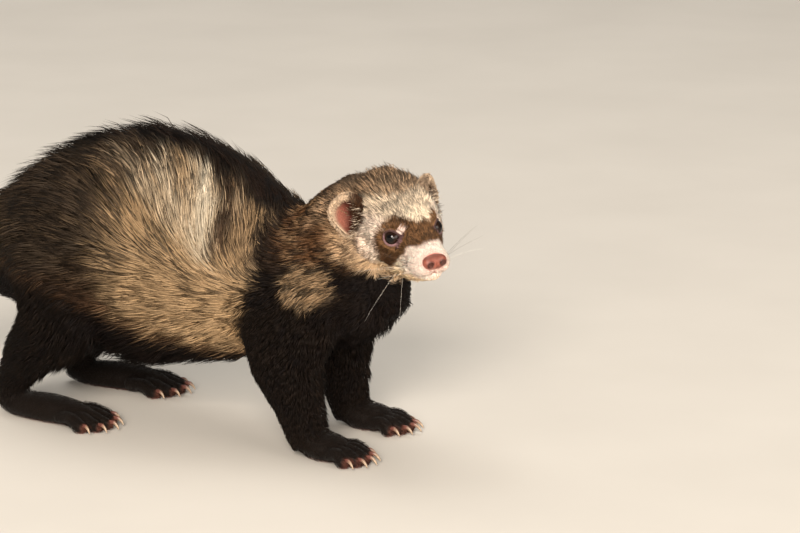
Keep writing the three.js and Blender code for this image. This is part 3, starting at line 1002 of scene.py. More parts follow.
    def _head(self, paint: Paint, points: Array, share: Array) -> None:
        """Lays the pale face, the dark mask, the crown, the chin and the ears, with painted light on the pale
        cheek band.

        Args:
            paint: What is laid so far.
            points: The places.
            share: How much of each is in each region.
        """
        c = self.colours
        true = HOLD.into(points)
        shifts = [noise(points, 3, 11), 1.6 * noise(points, 2.2, 12), noise(points, 3, 13)]
        q = true + 0.7 * np.stack(shifts, axis=1)
        x, y, z = np.abs(q[:, 0]), q[:, 1], q[:, 2]
        up = np.degrees(np.arctan2(z, x))
        rough = 2.2 * noise(points, 2.5, 14)
        floor = np.interp(x, self.FACE_SIDE, self.FACE_FLOOR)
        back = np.interp(z, (-30, -10, 8, 16), (47, 50, 55, 50))
        face = ease(z + rough - floor, -2.0, 2.5) * ease(y + rough - back, 3.0, -3.0) * ease(x, 42, 34)
        paint.lay(face * ease(y, 52, 42), 0.12, c.warm_white)
        paint.lay(face * ease(y, 20, 12), 0.0, c.white)
        cheek = ease(up, -22, -38) * ease(y, 16, 24)
        paint.lay(face * np.maximum(cheek, ease(z, -7, -10)), 0.05, c.honey)
        edge = ease(z + rough - floor, 4.5, 0.5) * ease(y, 12, 20)
        paint.lay(face * edge * 0.55, 0.2, c.tan)
        # A rosy white oval on the cheek between eye and ear: the pale cheek band is the face's own, and its
        # extra brightness is painted light.
        bright = ease(np.hypot((y - 33) / 7, (z - 5) / 13), 1.2, 0.7) * ease(x, 9, 13)
        paint.lay(face * bright, 0.0, c.rosy_and_painted_light)
        rear_cheek = ease(y + rough, 32, 43) * ease(z, 6, -2) * ease(x, 8, 14)
        paint.lay(face * rear_cheek * 0.85, 0.25, c.crown, c.pale_tip)
        crown_front = np.interp(up, self.CROWN_TURN, self.CROWN_FRONT)
        crown = ease(y - crown_front, -3, 4.5) * ease(y, 70, 60) * ease(z, -8, 3)
        paint.lay(crown * 0.92, 0.45, c.crown_top)
        forehead = ease(z, 9, 14) * ease(y, 22, 34) * (1 - crown)
        paint.lay(forehead * face * 0.8, 0.42, c.warm_white, c.cream)
        before = ease(y - np.interp(up, self.MASK_TURN, self.MASK_FRONT), -1.2, 1.6)
        rear = np.interp(up, self.MASK_TURN, self.MASK_REAR)
        rear_left = np.interp(up, (47, 57, 90), (28, 20.8, 19.6))
        rear = np.where(q[:, 0] > 0, np.minimum(rear, rear_left), rear)
        behind = ease(y - rear, 1.6, -1.3)
        mask = before * behind * ease(up, -52, -44) * share[:, Region.HEAD]
        paint.lay(mask, 0.45, c.mask, c.mask_tip)
        paint.lay(mask * ease(up, 5, -20) * 0.6, 0.3, c.mask_tip, c.brown_tip)
        spot = lengths((true - [-7.8, 20.3, 9.5]) / [1.2, 1.35, 0.75])
        paint.lay(ease(spot + 0.5 * noise(points, 1.4, 21), 2.1, 1.5), 0.0, c.spot)
        paint.lay(share[:, Region.EAR], 0.05, c.ear_rim)
        muzzle = Ball(FACE.nose, FACE.nose_radii).reach(true)
        paint.lay(ease(muzzle, 2.6, 0.6) * 0.3, 0.0, c.pink)
        held, near_side = np.stack([x, y, z], axis=1), 1 - 0.6 * ease(q[:, 0], 0, 8)
        for middle, radii in (((18.2, 40.0, 11.0), (2.6, 2.6, 8.0)), ((16.0, 42.5, 17.5), (3.0, 4.2, 3.8))):
            before_ear = lengths((held - middle) / radii)
            paint.lay(ease(before_ear, 1.3, 0.85) * near_side, 0.4, c.ear_edge)


@dataclass(frozen=True)
class EarShape:
    """The cup of an ear in its own frame, as wide, thick and high, and how it is set on the head."""

    at: Point = (21.5, 46, 9.6)
    radii: Point = (8.1, 4.3, 9.8)
    back: float = 12.0
    lean: float = 14.0
    turn: float = 54.0
    around: int = 64
    # From the back over the rim into the cup: the radius as a share, and the depth in millimetres
    profile: tuple[tuple[float, float], ...] = (
        (0.03, 4.3), (0.2, 4.2), (0.38, 3.95), (0.55, 3.55), (0.7, 3.0), (0.82, 2.3), (0.91, 1.5),
        (0.97, 0.5), (1.0, -0.6), (0.995, -1.5), (0.965, -2.3), (0.92, -2.65), (0.875, -2.45), (0.84, -1.8),
        (0.8, -0.9), (0.74, 0.0), (0.66, 0.9), (0.56, 1.7), (0.44, 2.3), (0.3, 2.7), (0.16, 2.9), (0.03, 3.0),
    )
    rim: int = 10  # the profile's place where the cup begins
    front_top: float = 136.0  # the middle of the rim's upper front, in degrees round the cup

    def middle(self, sign: int) -> Array:
        """The ear's place in the head's frame."""
        return np.array([sign * self.at[0], *self.at[1:]])

    def matrix(self, sign: int) -> Array:
        """The turn of the ear's frame in the head's."""
        return turned((-self.back, sign * self.lean, sign * self.turn))

    def pocket(self) -> Ball:
        """The hollow that the left ear's cup leaves in the flesh."""
        middle = self.middle(1) + self.matrix(1) @ [0.4, -1.6, 0.3]
        return Ball(tuple(middle), (6.2, 4.6, 8.0), (-self.back, self.lean, self.turn))


class Ear:
    """One ear: a thin cup with a rolled rim and folds inside."""

    def __init__(self, shape: EarShape, sign: int) -> None:
        """Works out the ear's surface.

        Args:
            shape: Its sizes.
            sign: 1 on the left and -1 on the right.
        """
        around = np.linspace(0, 2 * np.pi, shape.around, endpoint=False)
        share, depth = np.array(shape.profile).T[:, :, None]
        x, z = share * np.cos(around), share * np.sin(around)
        inner = (np.arange(len(shape.profile)) > shape.rim)[:, None]
        fold = np.exp(-(((z + 0.15) / 0.5) ** 2) - ((x - 0.42) / 0.12) ** 2)
        notch = np.exp(-(((x - 0.1) / 0.22) ** 2) - ((z + 0.62) / 0.16) ** 2)
        lower, front = ease(-z, 0.1, 1.0), ease(-x, 0.3, 1.0)
        y = shape.radii[1] / 4.3 * (depth - inner * (1.2 * fold + 0.9 * notch) + 1.6 * lower + 2.4 * front)
        wave = 1 + 0.03 * np.sin(3 * around + 0.8) + 0.02 * np.sin(5 * around)
        wide = shape.radii[0] * wave * (1 - 0.28 * lower) * (1 - 0.12 * front)
        local = np.stack([sign * x * wide, y, z * shape.radii[2] * wave], axis=-1).reshape(-1, 3)
        self.points = HOLD.out(local @ shape.matrix(sign).T + shape.middle(sign))
        rings = len(shape.profile)
        faces = ring_faces(rings - 1, shape.around)
        self.faces = faces if sign > 0 else [face[::-1] for face in faces]
        ring = np.repeat(np.arange(rings), shape.around)
        self.inside = ease(ring - 1.3 * z.reshape(-1), shape.rim + 2.2, shape.rim + 5.5)
        # Where the cup is darkened: partly its dark red-brown skin, partly painted shade in its hollow
        behind, core = ease(-x.reshape(-1), -0.66, -0.12), ease(ring, shape.rim + 7, rings)
        self.deep = np.maximum(behind, 0.7 * core) * self.inside
        outward = HOLD.matrix @ shape.matrix(sign) @ [0, 1, 0]
        radial = self.points - HOLD.out(shape.middle(sign)[None])[0]
        self.lie = unit(radial - (radial @ outward)[:, None] * outward - 1.2 * self.inside[:, None] * outward)
        self.around = np.tile(around, rings)
        self.front_top = np.exp(-(((self.around - np.radians(shape.front_top)) / 0.55) ** 2))
        self.along = ring / (rings - 1)


@dataclass
class SkinField:
    """What is known at each point of the skin, for the coat that grows from it."""

    normal: Array
    lie: Array
    depth: Array
    length: Array
    bare: Array
    paint: Paint
    share: Array
    chart: Array


def mesh_of(name: str, points: Array, faces: list, smooth: bool = True) -> Mesh:
    """A mesh in the frame's metres, from points in millimetres.

    Args:
        name: What it is called.
        points: Its corners.
        faces: Its faces, as rows of corner numbers.
        smooth: Whether it is shaded smooth.

    Returns:
        The new mesh.
    """
    made = bpy.data.meshes.new(name)
    if isinstance(faces, np.ndarray):
        made.vertices.add(len(points))
        made.vertices.foreach_set("co", PLACE.set(points).astype(np.float32).ravel())
        made.loops.add(faces.size)
        made.loops.foreach_set("vertex_index", faces.astype(np.int32).ravel())
        made.polygons.add(len(faces))
        made.polygons.foreach_set("loop_start", np.arange(0, faces.size, faces.shape[1], dtype=np.int32))
        made.update(calc_edges=True)
    else:
        made.from_pydata(PLACE.set(points).tolist(), [], faces)
        made.update()
    made.polygons.foreach_set("use_smooth", np.full(len(made.polygons), smooth))
    return made


class Placing:
    """Sets the body's millimetres into the frame, whose origin is the middle of the footprint."""

    def __init__(self, face: Face) -> None:
        """Reads the shift from where the frame has the eyes.

        Args:
            face: The head's features, which say where the eyes are in the body.
        """
        boxes = [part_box(f"eye_{name}") for name in ("left", "right")]
        seen = np.mean([np.array(low) + np.array(high) for low, high in boxes], axis=0) / 2 / MM
        eyes = np.array([[sign * face.eye[0], *face.eye[1:]] for sign in (1, -1)])
        self.shift = HOLD.out(eyes).mean(axis=0) - seen
        self.shift[2] = 0.0

    def set(self, points: Array) -> Array:
        """Points of the body, in the frame's metres."""
        return (points - self.shift) * MM


FACE = Face()
PLACE = Placing(FACE)


def arrays_of(made: Mesh) -> tuple[Array, Faces]:
    """Reads a mesh.

    Args:
        made: The mesh.

    Returns:
        Its corners, and its faces as rows of corner numbers.
    """
    points = np.zeros(len(made.vertices) * 3, np.float32)
    made.vertices.foreach_get("co", points)
    return points.reshape(-1, 3).astype(float), [tuple(p.vertices) for p in made.polygons]


def placed(name: str, data: ID) -> Object:
    """A new object of the scene."""
    made = bpy.data.objects.new(name, data)
    bpy.context.scene.collection.objects.link(made)
    return made


def keep_values(made: Mesh, name: str, values: Array) -> None:
    """Keeps a number for each corner of a mesh, which a finish or a node tree reads."""
    kept = made.attributes.new(name, "FLOAT", "POINT")
    kept.data.foreach_set("value", values.astype(np.float32))


def show(name: str, made: Mesh, material: Material) -> Object:
    """Makes a piece that rides on the body.

    Args:
        name: The piece's name.
        made: Its mesh.
        material: Its finish.

    Returns:
        The piece.
    """
    made.materials.clear()
    made.materials.append(material)
    piece = placed(name, made)
    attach(piece, "root")
    LOG.info("%s: %d faces", name, len(made.polygons))
    return piece


class Skin:
    """The one skin of the body, head, ears, legs, tail and feet, and what the coat needs to know of it."""

    VOXEL = 1.3  # how fine the first surface is, in millimetres

    def __init__(self, flesh: Flesh, ears: list[Ear]) -> None:
        """Makes the skin's surface and its fields.

        Args:
            flesh: The body's flesh.
            ears: Both ears.
        """
        self.flesh, self.ears = flesh, ears
        points, faces = self._surface()
        self.body_count = len(points)
        for ear in ears:
            faces = faces + [tuple(i + len(points) for i in face) for face in ear.faces]
            points = np.vstack([points, ear.points])
        self.points, self.faces = points, faces
        self.mesh = mesh_of("skin", points, faces)
        self._measure()

    def _surface(self) -> tuple[Array, Faces]:
        """The body's closed surface, finer on the head and the toes.

        Returns:
            Its points in millimetres, and its faces.
        """
        corners, faces = [], []
        for points, shell_faces in self.flesh.shells():
            faces += [tuple(i + sum(len(c) for c in corners) for i in face) for face in shell_faces]
            corners.append(points)
        rough = bpy.data.meshes.new("rough")
        rough.from_pydata((np.vstack(corners) * MM).tolist(), [], faces)
        holder = placed("rough", rough)
        remesh = holder.modifiers.new("remesh", "REMESH")
        remesh.mode = "VOXEL"
        remesh.voxel_size = self.VOXEL * MM
        whole = bpy.data.meshes.new_from_object(holder.evaluated_get(bpy.context.evaluated_depsgraph_get()))
        bpy.data.objects.remove(holder)
        work = bmesh.new()
        work.from_mesh(whole)
        for rule in (self._on_face, self._near_features, self._at_lids, self._on_toes):
            self._refine(work, rule)
        work.to_mesh(whole)
        work.free()
        points, faces = arrays_of(whole)
        points = settle(points / MM, self.flesh.reach)
        pairs = self._neighbours(faces)
        for _ in range(2):
            points = (points + spread(points, pairs)) / 2
        points = settle(points, self.flesh.reach, steps=3)
        points[:, 2] = np.maximum(points[:, 2], SOLE)
        return points, faces

    @staticmethod
    def _on_face(points: Array) -> Array:
        """Which points lie on the head, for a finer skin."""
        q = HOLD.into(points)
        return (q[:, 1] < 36) & (np.abs(q[:, 0]) < 24) & (q[:, 2] > -20) & (q[:, 2] < 24)

    def _on_toes(self, points: Array) -> Array:
        """Which points lie on the front of the toes, for a finer skin.

        Args:
            points: The places.

        Returns:
            True or false for each.
        """
        x, y, z = points.T
        near = np.zeros(len(points), bool)
        for foot in self.flesh.feet:
            starts = foot.sizes.roots(foot.sign)
            front = min(start[1] - length for start, _, length in starts)
            near |= (np.abs(x - starts[2][0][0]) < 20) & (y < front + 15) & (y > front - 8)
        return near & (z < 13)

    @staticmethod
    def _near_features(points: Array) -> Array:
        """Which points lie near an eye, the nose or the mouth, for the finest skin."""
        q = HOLD.folded(points)
        eye = lengths(q - (np.array(FACE.eye) + [1.5, -1.5, 0.5])) < 7.0
        nose = lengths(q - FACE.nose) < 8
        return eye | nose | (distance_to_path(q, np.array(FACE.mouth)) < 2.6)

    @staticmethod
    def _at_lids(points: Array) -> Array:
        """Which points lie at the edge of a lid."""
        offset = HOLD.folded(points) - FACE.eye
        return (lengths(offset) < FACE.eye_radius + 1.8) & (offset @ np.array(FACE.gaze) > 0.5)

    @staticmethod
    def _refine(work: bmesh.types.BMesh, rule: Rule) -> None:
        """Divides the faces whose corners a rule picks.

        Args:
            work: The mesh.
            rule: What tells whether points are picked.
        """
        work.verts.index_update()
        picked = rule(np.array([v.co[:] for v in work.verts]) / MM)
        edges = [e for e in work.edges if picked[e.verts[0].index] and picked[e.verts[1].index]]
        bmesh.ops.subdivide_edges(work, edges=edges, cuts=1, use_grid_fill=True)

    @staticmethod
    def _neighbours(faces: Faces) -> Array:
        """Every edge once, as pairs of corner numbers."""
        pairs = [(min(pair), max(pair)) for face in faces for pair in zip(face, face[1:] + face[:1])]
        return np.unique(np.array(pairs), axis=0)

    def _measure(self) -> None:
        """Works out the skin's regions, the lie and depth of its coat, what is bare, and the colours."""
        body, flesh = self.points, self.flesh
        count = len(body)
        normal = np.zeros(count * 3, np.float32)
        self.mesh.vertex_normals.foreach_get("vector", normal)
        normal = normal.reshape(-1, 3).astype(float)
        # Each form with its region, the way of its hair, and the hair's length for its depth
        forms: list[tuple[Region, Form, float, float]] = [
            (Region.TRUNK, flesh.trunk, 1.0, 2.5),
            (Region.NECK, flesh.neck, -1.0, 2.5),
            (Region.TAIL, flesh.tail, 1.0, 3.0),
            (Region.HEAD, flesh.skull, 1.0, 2.1),
            (Region.HEAD, flesh.jaw, 1.0, 2.0),
            *((Region.FORELEG, leg, 1.0, 2.2) for leg in flesh.forelegs),
            *((Region.HINDLEG, leg, 1.0, 2.2) for leg in flesh.hindlegs),
        ]
        share = np.zeros((count, len(Region)))
        lie, depth, length = np.zeros((count, 3)), np.zeros(count), np.zeros(count)
        chart = np.zeros((count, 2))
        closest = np.full(count, FAR)
        for region, form, way, ratio in forms:
            read = form.measure(body)
            weight = np.where(read.reach < FAR, np.exp(-np.maximum(read.reach, 0) / 1.6), 0)
            ahead, up = form.vectors(read)
            direction = self._lie(region, way * ahead, up, read)
            coat = form.coat(read)
            height = np.sin(read.turn)
            if region is Region.NECK:
                top, throat = ease(height, 0.3, 0.9), ease(-height, 0.2, 0.8)
                coat = coat * (1 - 0.4 * (top * ease(read.t, 0.3, 0.6) + throat * ease(read.t, 0.5, 0.8)))
            if region is Region.TRUNK:
                under = ease(-height, 0.5, 0.95) * ease(read.t, 0.16, 0.3) * ease(read.t, 0.8, 0.64)
                coat = coat + 4.5 * under
                direction = direction - 0.3 * under[:, None] * [0, 0, 1]
            share[:, region] += weight
            lie += direction * weight[:, None]
            depth += coat * weight
            length += coat * ratio * weight
            nearer = read.reach < closest
            closest = np.where(nearer, read.reach, closest)
            place = np.stack([read.t, (read.turn / np.pi + 1) / 2], axis=1)
            chart = np.where(nearer[:, None], place, chart)
        for foot in flesh.feet:
            weight = np.exp(-np.maximum(foot.reach(body), 0) / 0.8) * 3
            share[:, Region.FOOT] += weight
            lie += weight[:, None] * [0.1 * foot.sign, -1, -0.35]
            depth += 0.9 * weight
            length += 3.2 * weight
            box = (body - np.array(foot.palm.at)) / 80 + 0.5
            chart = np.where((weight > 1.5)[:, None], box[:, :2], chart)
        total = share.sum(axis=1)
        share /= total[:, None]
        depth, length = depth / total, length / total
        pairs = self._neighbours(self.faces)
        for _ in range(8):
            depth, length = spread(np.stack([depth, length], axis=1), pairs).T
        cheek = lengths((HOLD.folded(body) - [17, 37, -6]) / [8, 9, 9])
        cheek = ease(cheek, 1.35, 0.5) * share[:, Region.HEAD]
        chest = lengths((body - [6, -32, 62]) / [24, 22, 15])
        chest = ease(chest, 1.3, 0.4) * (share[:, Region.TRUNK] + share[:, Region.NECK])
        depth, length = depth + 1.5 * cheek + 4.5 * chest, length + 2.6 * cheek + 6.5 * chest
        for k, ear in enumerate(self.ears):
            own = self._own(k)
            share[own] = 0
            share[own, Region.EAR] = 1
            lie[own], depth[own], length[own] = ear.lie, 1.7, 4.2
            chart[own] = np.stack([(ear.along + k) / 2, ear.around / (2 * np.pi)], axis=1)
        self._part_round_eyes(lie, share)
        lie = unit(lie - dot(lie, normal) * normal)
        for _ in range(6):
            lie = unit(lie + spread(lie, pairs))
        lie = unit(lie - dot(lie, normal) * normal)
        paint = Markings(flesh).paint(body, share)
        bare = self._bare(share)
        self._colour_bare(paint)
        self.field = SkinField(normal, lie, depth, length, bare, paint, share, chart)

    def _own(self, k: int) -> slice:
        """Which points of the skin are those of an ear."""
        start = self.body_count + k * len(self.ears[k].points)
        return slice(start, start + len(self.ears[k].points))

    @staticmethod
    def _lie(region: Region, ahead: Array, up: Array, read: Reading) -> Array:
        """Which way the hair lies in a region, before it is laid flat on the skin.

        Args:
            region: The region.
            ahead: The way along its form.
            up: The way up from it.
            read: Where the points lie on the form.

        Returns:
            A direction for each point.
        """
        height = np.sin(read.turn)
        if region is Region.TRUNK:
            rise = ease(height, -0.45, 0.5) * ease(read.t, 0.71, 0.3) * ease(read.t, 0.12, 0.26)
            rise = np.radians(82) * rise[:, None]
            return ahead * np.maximum(np.cos(rise), 0.25) + up * np.sin(rise)
        if region is Region.NECK:
            near_head = ease(read.t, 0.4, 0.85)[:, None]
            head_back = HOLD.matrix[:, 1] - [0, 0, 0.35]
            return (ahead + [0, 0.3, -0.25]) * (1 - near_head) + near_head * head_back
        if region is Region.HEAD:
            return ahead - ease(height, 0.9, 0.1)[:, None] * [0, 0, 0.42]
        if region in (Region.FORELEG, Region.HINDLEG):
            return ahead + [0, 0.35, 0]
        return ahead

    def _part_round_eyes(self, lie: Array, share: Array) -> None:
        """Turns the lie away from the eyes close to the lids.

        Args:
            lie: The way of the hair, which is changed in place.
            share: How much of each point is in each region.
        """
        q = HOLD.into(self.points)
        for sign in (1, -1):
            offset = q - np.array([sign * FACE.eye[0], *FACE.eye[1:]])
            distance = lengths(offset)
            pull = 2.2 * np.exp(-np.maximum(distance - FACE.eye_radius - 0.6, 0) / 1.8)
            lie += (unit(offset) @ HOLD.matrix.T) * (pull * share[:, Region.HEAD])[:, None]

    def _feature_reach(self) -> tuple[Array, Array, Array, Array]:
        """Measures the skin's points against the bare features.

        Returns:
            How far they are from the lids' edge, from the nose and from the lips, and how deep in an ear.
        """
        q = HOLD.folded(self.points)
        distance, outside = FACE.round_eye(q)
        lids = np.where(distance < FACE.eye_radius + 2.6, outside * FACE.eye_radius, FAR)
        nose = Ball(FACE.nose, FACE.nose_radii).reach(q)
        lips = distance_to_path(q, np.array(FACE.mouth))
        inside = np.concatenate([np.zeros(self.body_count), *(ear.inside for ear in self.ears)])
        return lids, nose, lips, inside

    def _in_pocket(self) -> Array:
        """Which of the head's skin lines the hollow of an ear, from 0 to 1."""
        inside = ease(self.flesh.pocket.reach(HOLD.folded(self.points)), 0.9, 0.3)
        inside[self.body_count :] = 0
        return inside

    def _bare(self, share: Array) -> Array:
        """Where no hair grows.

        Args:
            share: How much of each point is in each region.

        Returns:
            A number for each point, from 0 to 1 where it is bare.
        """
        lids, nose, lips, inside = self._feature_reach()
        soles = share[:, Region.FOOT] * ease(self.points[:, 2], 1.2, 0.6)
        features = [ease(lids, 0.8, 0.4), ease(nose, 0.2, -0.2), ease(lips, 1.2, 0.6)]
        return np.maximum.reduce([*features, inside * 0.97, self._in_pocket(), soles])

    def _colour_bare(self, paint: Paint) -> None:
        """Lays the pink of the lids, the lips, the nose's edge and the ears' cups, and the dark deep in the cups
        and in the hollows under them, which is partly painted shade.

        Args:
            paint: What is laid so far.
        """
        c = Palette()
        lids, nose, lips, inside = self._feature_reach()
        q = HOLD.into(self.points)
        # Painted shade in the hollow under each ear's cup
        paint.lay(self._in_pocket(), 0, c.dark_ear_skin_and_shade)
        paint.lay(ease(lids, 1.0, 0.55), 0, c.lid)
        above = ease(q[:, 2] - FACE.eye[2] + noise(self.points, 1.5, 22), 0.2, 2.2)
        paint.lay(ease(lids, 1.0, 0.55) * above * 0.9, 0, c.lid_dark)
        paint.lay(ease(nose, 0.7, 0.2), 0, c.pink)
        paint.lay(ease(lips, 1.3, 0.6) * 0.85 * ease(q[:, 1], 13, 7), 0, c.lip)
        paint.lay(inside, 0, c.ear_pink)
        far = ease(self.points[:, 0], 0, 8)
        body = np.zeros(self.body_count)
        front_top = np.concatenate([body, *(ease(ear.front_top, 0.3, 0.75) for ear in self.ears)])
        deep = np.concatenate([body, *(ear.deep for ear in self.ears)])
        paint.lay(front_top * (0.92 - 0.7 * far), 0.3, c.ear_edge)
        # Dark skin and painted shade deep in the cups, less on the left ear
        paint.lay(deep * (0.9 - 0.5 * far), 0, c.dark_ear_skin_and_shade)
        paint.lay(inside * far * 0.88, 0, c.ear_rim)

    def dress(self, finish: "CoatFinish") -> Object:
        """Shows the skin, in place of the solids of flesh.

        Args:
            finish: The finish that reads its colours.

        Returns:
            The skin.
        """
        colour = self.field.paint.root * 0.75 + self.field.paint.tip * 0.25
        bare = self.field.bare[:, None]
        # Where hair grows the skin is darkened to 0.86 of its colour, as painted shade under the coat.
        give_colours(self.mesh, colour * (0.86 + 0.14 * bare))
        piece = show("skin", self.mesh, finish.material())
        parts = ("ear", "foreleg", "hindleg", "forepaw", "hindpaw")
        sides = [f"{part}_{name}" for part in parts for name in ("left", "right")]
        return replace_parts(piece, "torso", "neck", "tail", "head", *sides)


def spread(values: Array, pairs: Array) -> Array:
    """The mean of each point's neighbours.

    Args:
        values: A row of numbers for each point.
        pairs: Every edge once, as pairs of points.

    Returns:
        A row for each point.
    """
    count = len(values)
    a, b = pairs[:, 0], pairs[:, 1]
    number = np.maximum(np.bincount(a, minlength=count) + np.bincount(b, minlength=count), 1)
    columns = [
        np.bincount(a, values[b, k], minlength=count) + np.bincount(b, values[a, k], minlength=count)
        for k in range(values.shape[1])
    ]
    return np.stack(columns, axis=1) / number[:, None]


def give_colours(made: Mesh, colours: Array) -> None:
    """Keeps a colour for each corner of a mesh, which its finish reads."""
    kept = made.attributes.new("coat_colour", "FLOAT_COLOR", "POINT")
    opaque = np.hstack([colours, np.ones((len(colours), 1))])
    kept.data.foreach_set("color", opaque.astype(np.float32).ravel())


@dataclass(frozen=True)
class CoatKind:
    """One layer of hair: where it grows, how many tufts it has, and their shape in millimetres."""

    name: str
    region: Region
    slot: str
    count: int
    bends: int
    longer: float
    width: float
    height: float
    gather: float
    clump: int
    guard: bool = False
    side: int = 0
    least: float = 1.4
    seed: int = 1


class Coat:
    """All hair of the body, as closed tapered tufts that follow the skin's lie."""

    ROOT_DEPTH = 0.35  # how far under the skin a tuft starts
    LEAST_SHARE = 0.02  # no hair grows where less of the skin than this is its region's
    STANDING = 0.05  # the share of tufts that stand higher than the rest
    PULL = 6  # how far a lock draws a tuft at most
    PATCH = 0.003  # the size of a tuft on the map that its colours are kept by
    SECTION = ((-0.5, -0.12), (0.5, -0.12), (0, 0.32))  # a tuft's corners, across it and up, by its width

    def __init__(self, skin: Skin) -> None:
        """Readies the skin for the tufts' roots.

        Args:
            skin: The skin that they grow from.
        """
        self.skin = skin
        self.triangles = np.array([(f[0], f[k], f[k + 1]) for f in skin.faces for k in range(1, len(f) - 1)])
        a, b, c = (skin.points[self.triangles[:, k]] for k in range(3))
        self.area = lengths(np.cross(b - a, c - a)) / 2
        self.tree = KDTree(len(skin.points))
        for number, point in enumerate(skin.points):
            self.tree.insert(point, number)
        self.tree.balance()

    def nearest(self, points: Array) -> Array:
        """The number of the skin's point nearest to each of some points."""
        find = self.tree.find
        return np.fromiter((find(p)[1] for p in points.tolist()), int, len(points))

    def _roots(self, kind: CoatKind, rng: Generator) -> tuple[Array, Array]:
        """Evenly spread roots of a layer.

        Args:
            kind: The layer.
            rng: Where random numbers come from.

        Returns:
            The roots, and each one's nearest corner of the skin.
        """
        f = self.skin.field
        grows = f.share[:, kind.region] * (1 - f.bare) ** 2
        if kind.side:
            grows = grows * (kind.side * self._side() > 0)
        dense = (f.length + 2.5) ** -0.55
        weight = self.area * (grows * dense)[self.triangles].mean(axis=1)
        weight[grows[self.triangles].min(axis=1) < self.LEAST_SHARE] = 0
        total = np.cumsum(weight)
        place = (np.arange(kind.count) + rng.random(kind.count)) / kind.count * total[-1]
        chosen = np.minimum(np.searchsorted(total, place), len(total) - 1)
        u, v = rng.random((2, kind.count, 1))
        folded = u + v > 1
        u, v = np.where(folded, 1 - u, u), np.where(folded, 1 - v, v)
        corners = self.triangles[chosen]
        a, b, c = (self.skin.points[corners[:, k]] for k in range(3))
        weights = np.hstack([1 - u - v, u, v])
        return a * weights[:, :1] + b * u + c * v, corners[np.arange(kind.count), weights.argmax(axis=1)]

    def _side(self) -> Array:
        """1 on the left half of the body and head, and -1 on the right."""
        share, points = self.skin.field.share, self.skin.points
        head = share[:, Region.HEAD] + share[:, Region.EAR] > 0.5
        return np.where(np.where(head, HOLD.into(points)[:, 0], points[:, 0]) > 0, 1, -1)

    def grow(self, kind: CoatKind, finish: "CoatFinish") -> Object:
        """Makes one layer.

        Args:
            kind: The layer.
            finish: The hair's finish.

        Returns:
            The layer's piece.
        """
        rng = np.random.default_rng(kind.seed)
        f = self.skin.field
        roots, near = self._roots(kind, rng)
        n = len(roots)
        length = np.maximum(f.length[near] * kind.longer, kind.least) * rng.uniform(0.75, 1.2, n)
        loose = 1 + 0.3 * noise(roots, 5, 42) + 0.15 * noise(roots, 2, 43)
        tall = f.depth[near] * kind.height * rng.uniform(0.75, 1.1, n) * loose
        tall *= np.where(rng.random(n) < self.STANDING, 1.15 if kind.guard else 1.5, 1)
        normal, lie = f.normal[near], f.lie[near]
        across = np.cross(normal, lie)
        stray = rng.normal(0, 0.15, n) + 0.3 * noise(roots, 8, 40) + 0.2 * noise(roots, 3.5, 41)
        lie = unit(lie + across * stray[:, None])
        steps = kind.bends + 1
        spine, outward, chart = [roots - normal * self.ROOT_DEPTH], [normal], f.chart[near]
        base, places = roots, [near]
        rise = np.minimum(tall / length, 0.9)
        for step in range(1, steps + 1):
            reach = (length * np.sqrt(1 - rise**2) / steps)[:, None]
            base = base + lie * reach
            j = self.nearest(base) if steps > 2 or kind.longer * f.length.max() > 6 else near
            base = base - dot(base - self.skin.points[j], f.normal[j]) * f.normal[j]
            lift = tall * (1 - (1 - step / steps) ** 1.6)
            spine.append(base + f.normal[j] * lift[:, None])
            outward.append(f.normal[j])
            places.append(j)
            lie = unit(lie - dot(lie, f.normal[j]) * f.normal[j] + 0.5 * f.lie[j])
        spine, lock = self.gathered(np.stack(spine, axis=1), kind, rng)
        spine[..., 2] = np.maximum(spine[..., 2], LOWEST_HAIR)
        tone = self._tone(roots, lock, rng)
        tone = 1 + (tone - 1) * (0.5 if kind.region is Region.HEAD else 1)
        colours = self._colours(kind, places, tone, lock, rng)
        return self.tufts(kind, spine, np.stack(outward, axis=1), length, colours, chart, finish)

    def gathered(self, spine: Array, kind: CoatKind, rng: Generator) -> tuple[Array, Array]:
        """Draws the tips of near tufts together into locks.

        Args:
            spine: Each tuft's line from root to tip.
            kind: The layer.
            rng: Where random numbers come from.

        Returns:
            The new lines, and the number of each tuft's lock.
        """
        guides = np.arange(0, len(spine), kind.clump)
        tree = KDTree(len(guides))
        for number, guide in enumerate(guides):
            tree.insert(spine[guide, 0], number)
        tree.balance()
        nearest = np.fromiter((tree.find(p)[1] for p in spine[:, 0].tolist()), int, len(spine))
        leader = spine[guides[nearest]]
        share = np.linspace(0, 1, spine.shape[1])[None, :, None] ** 1.3
        pull = kind.gather * rng.uniform(0.6, 1.2, (len(spine), 1, 1))
        shift = np.clip(leader - spine, -self.PULL, self.PULL)
        return spine + shift * share * np.minimum(pull, 0.95), nearest

    @staticmethod
    def _tone(roots: Array, lock: Array, rng: Generator) -> Array:
        """How light each tuft is, by its place, its lock and by itself.

        Args:
            roots: The tufts' roots.
            lock: The number of each one's lock.
            rng: Where random numbers come from.

        Returns:
            A factor for each tuft.
        """
        wide = 0.16 * noise(roots, 7, 60)
        locks = rng.normal(0, 0.13, lock.max() + 1)[lock]
        return np.clip(1 + wide + locks + rng.normal(0, 0.07, len(roots)), 0.4, 1.5)

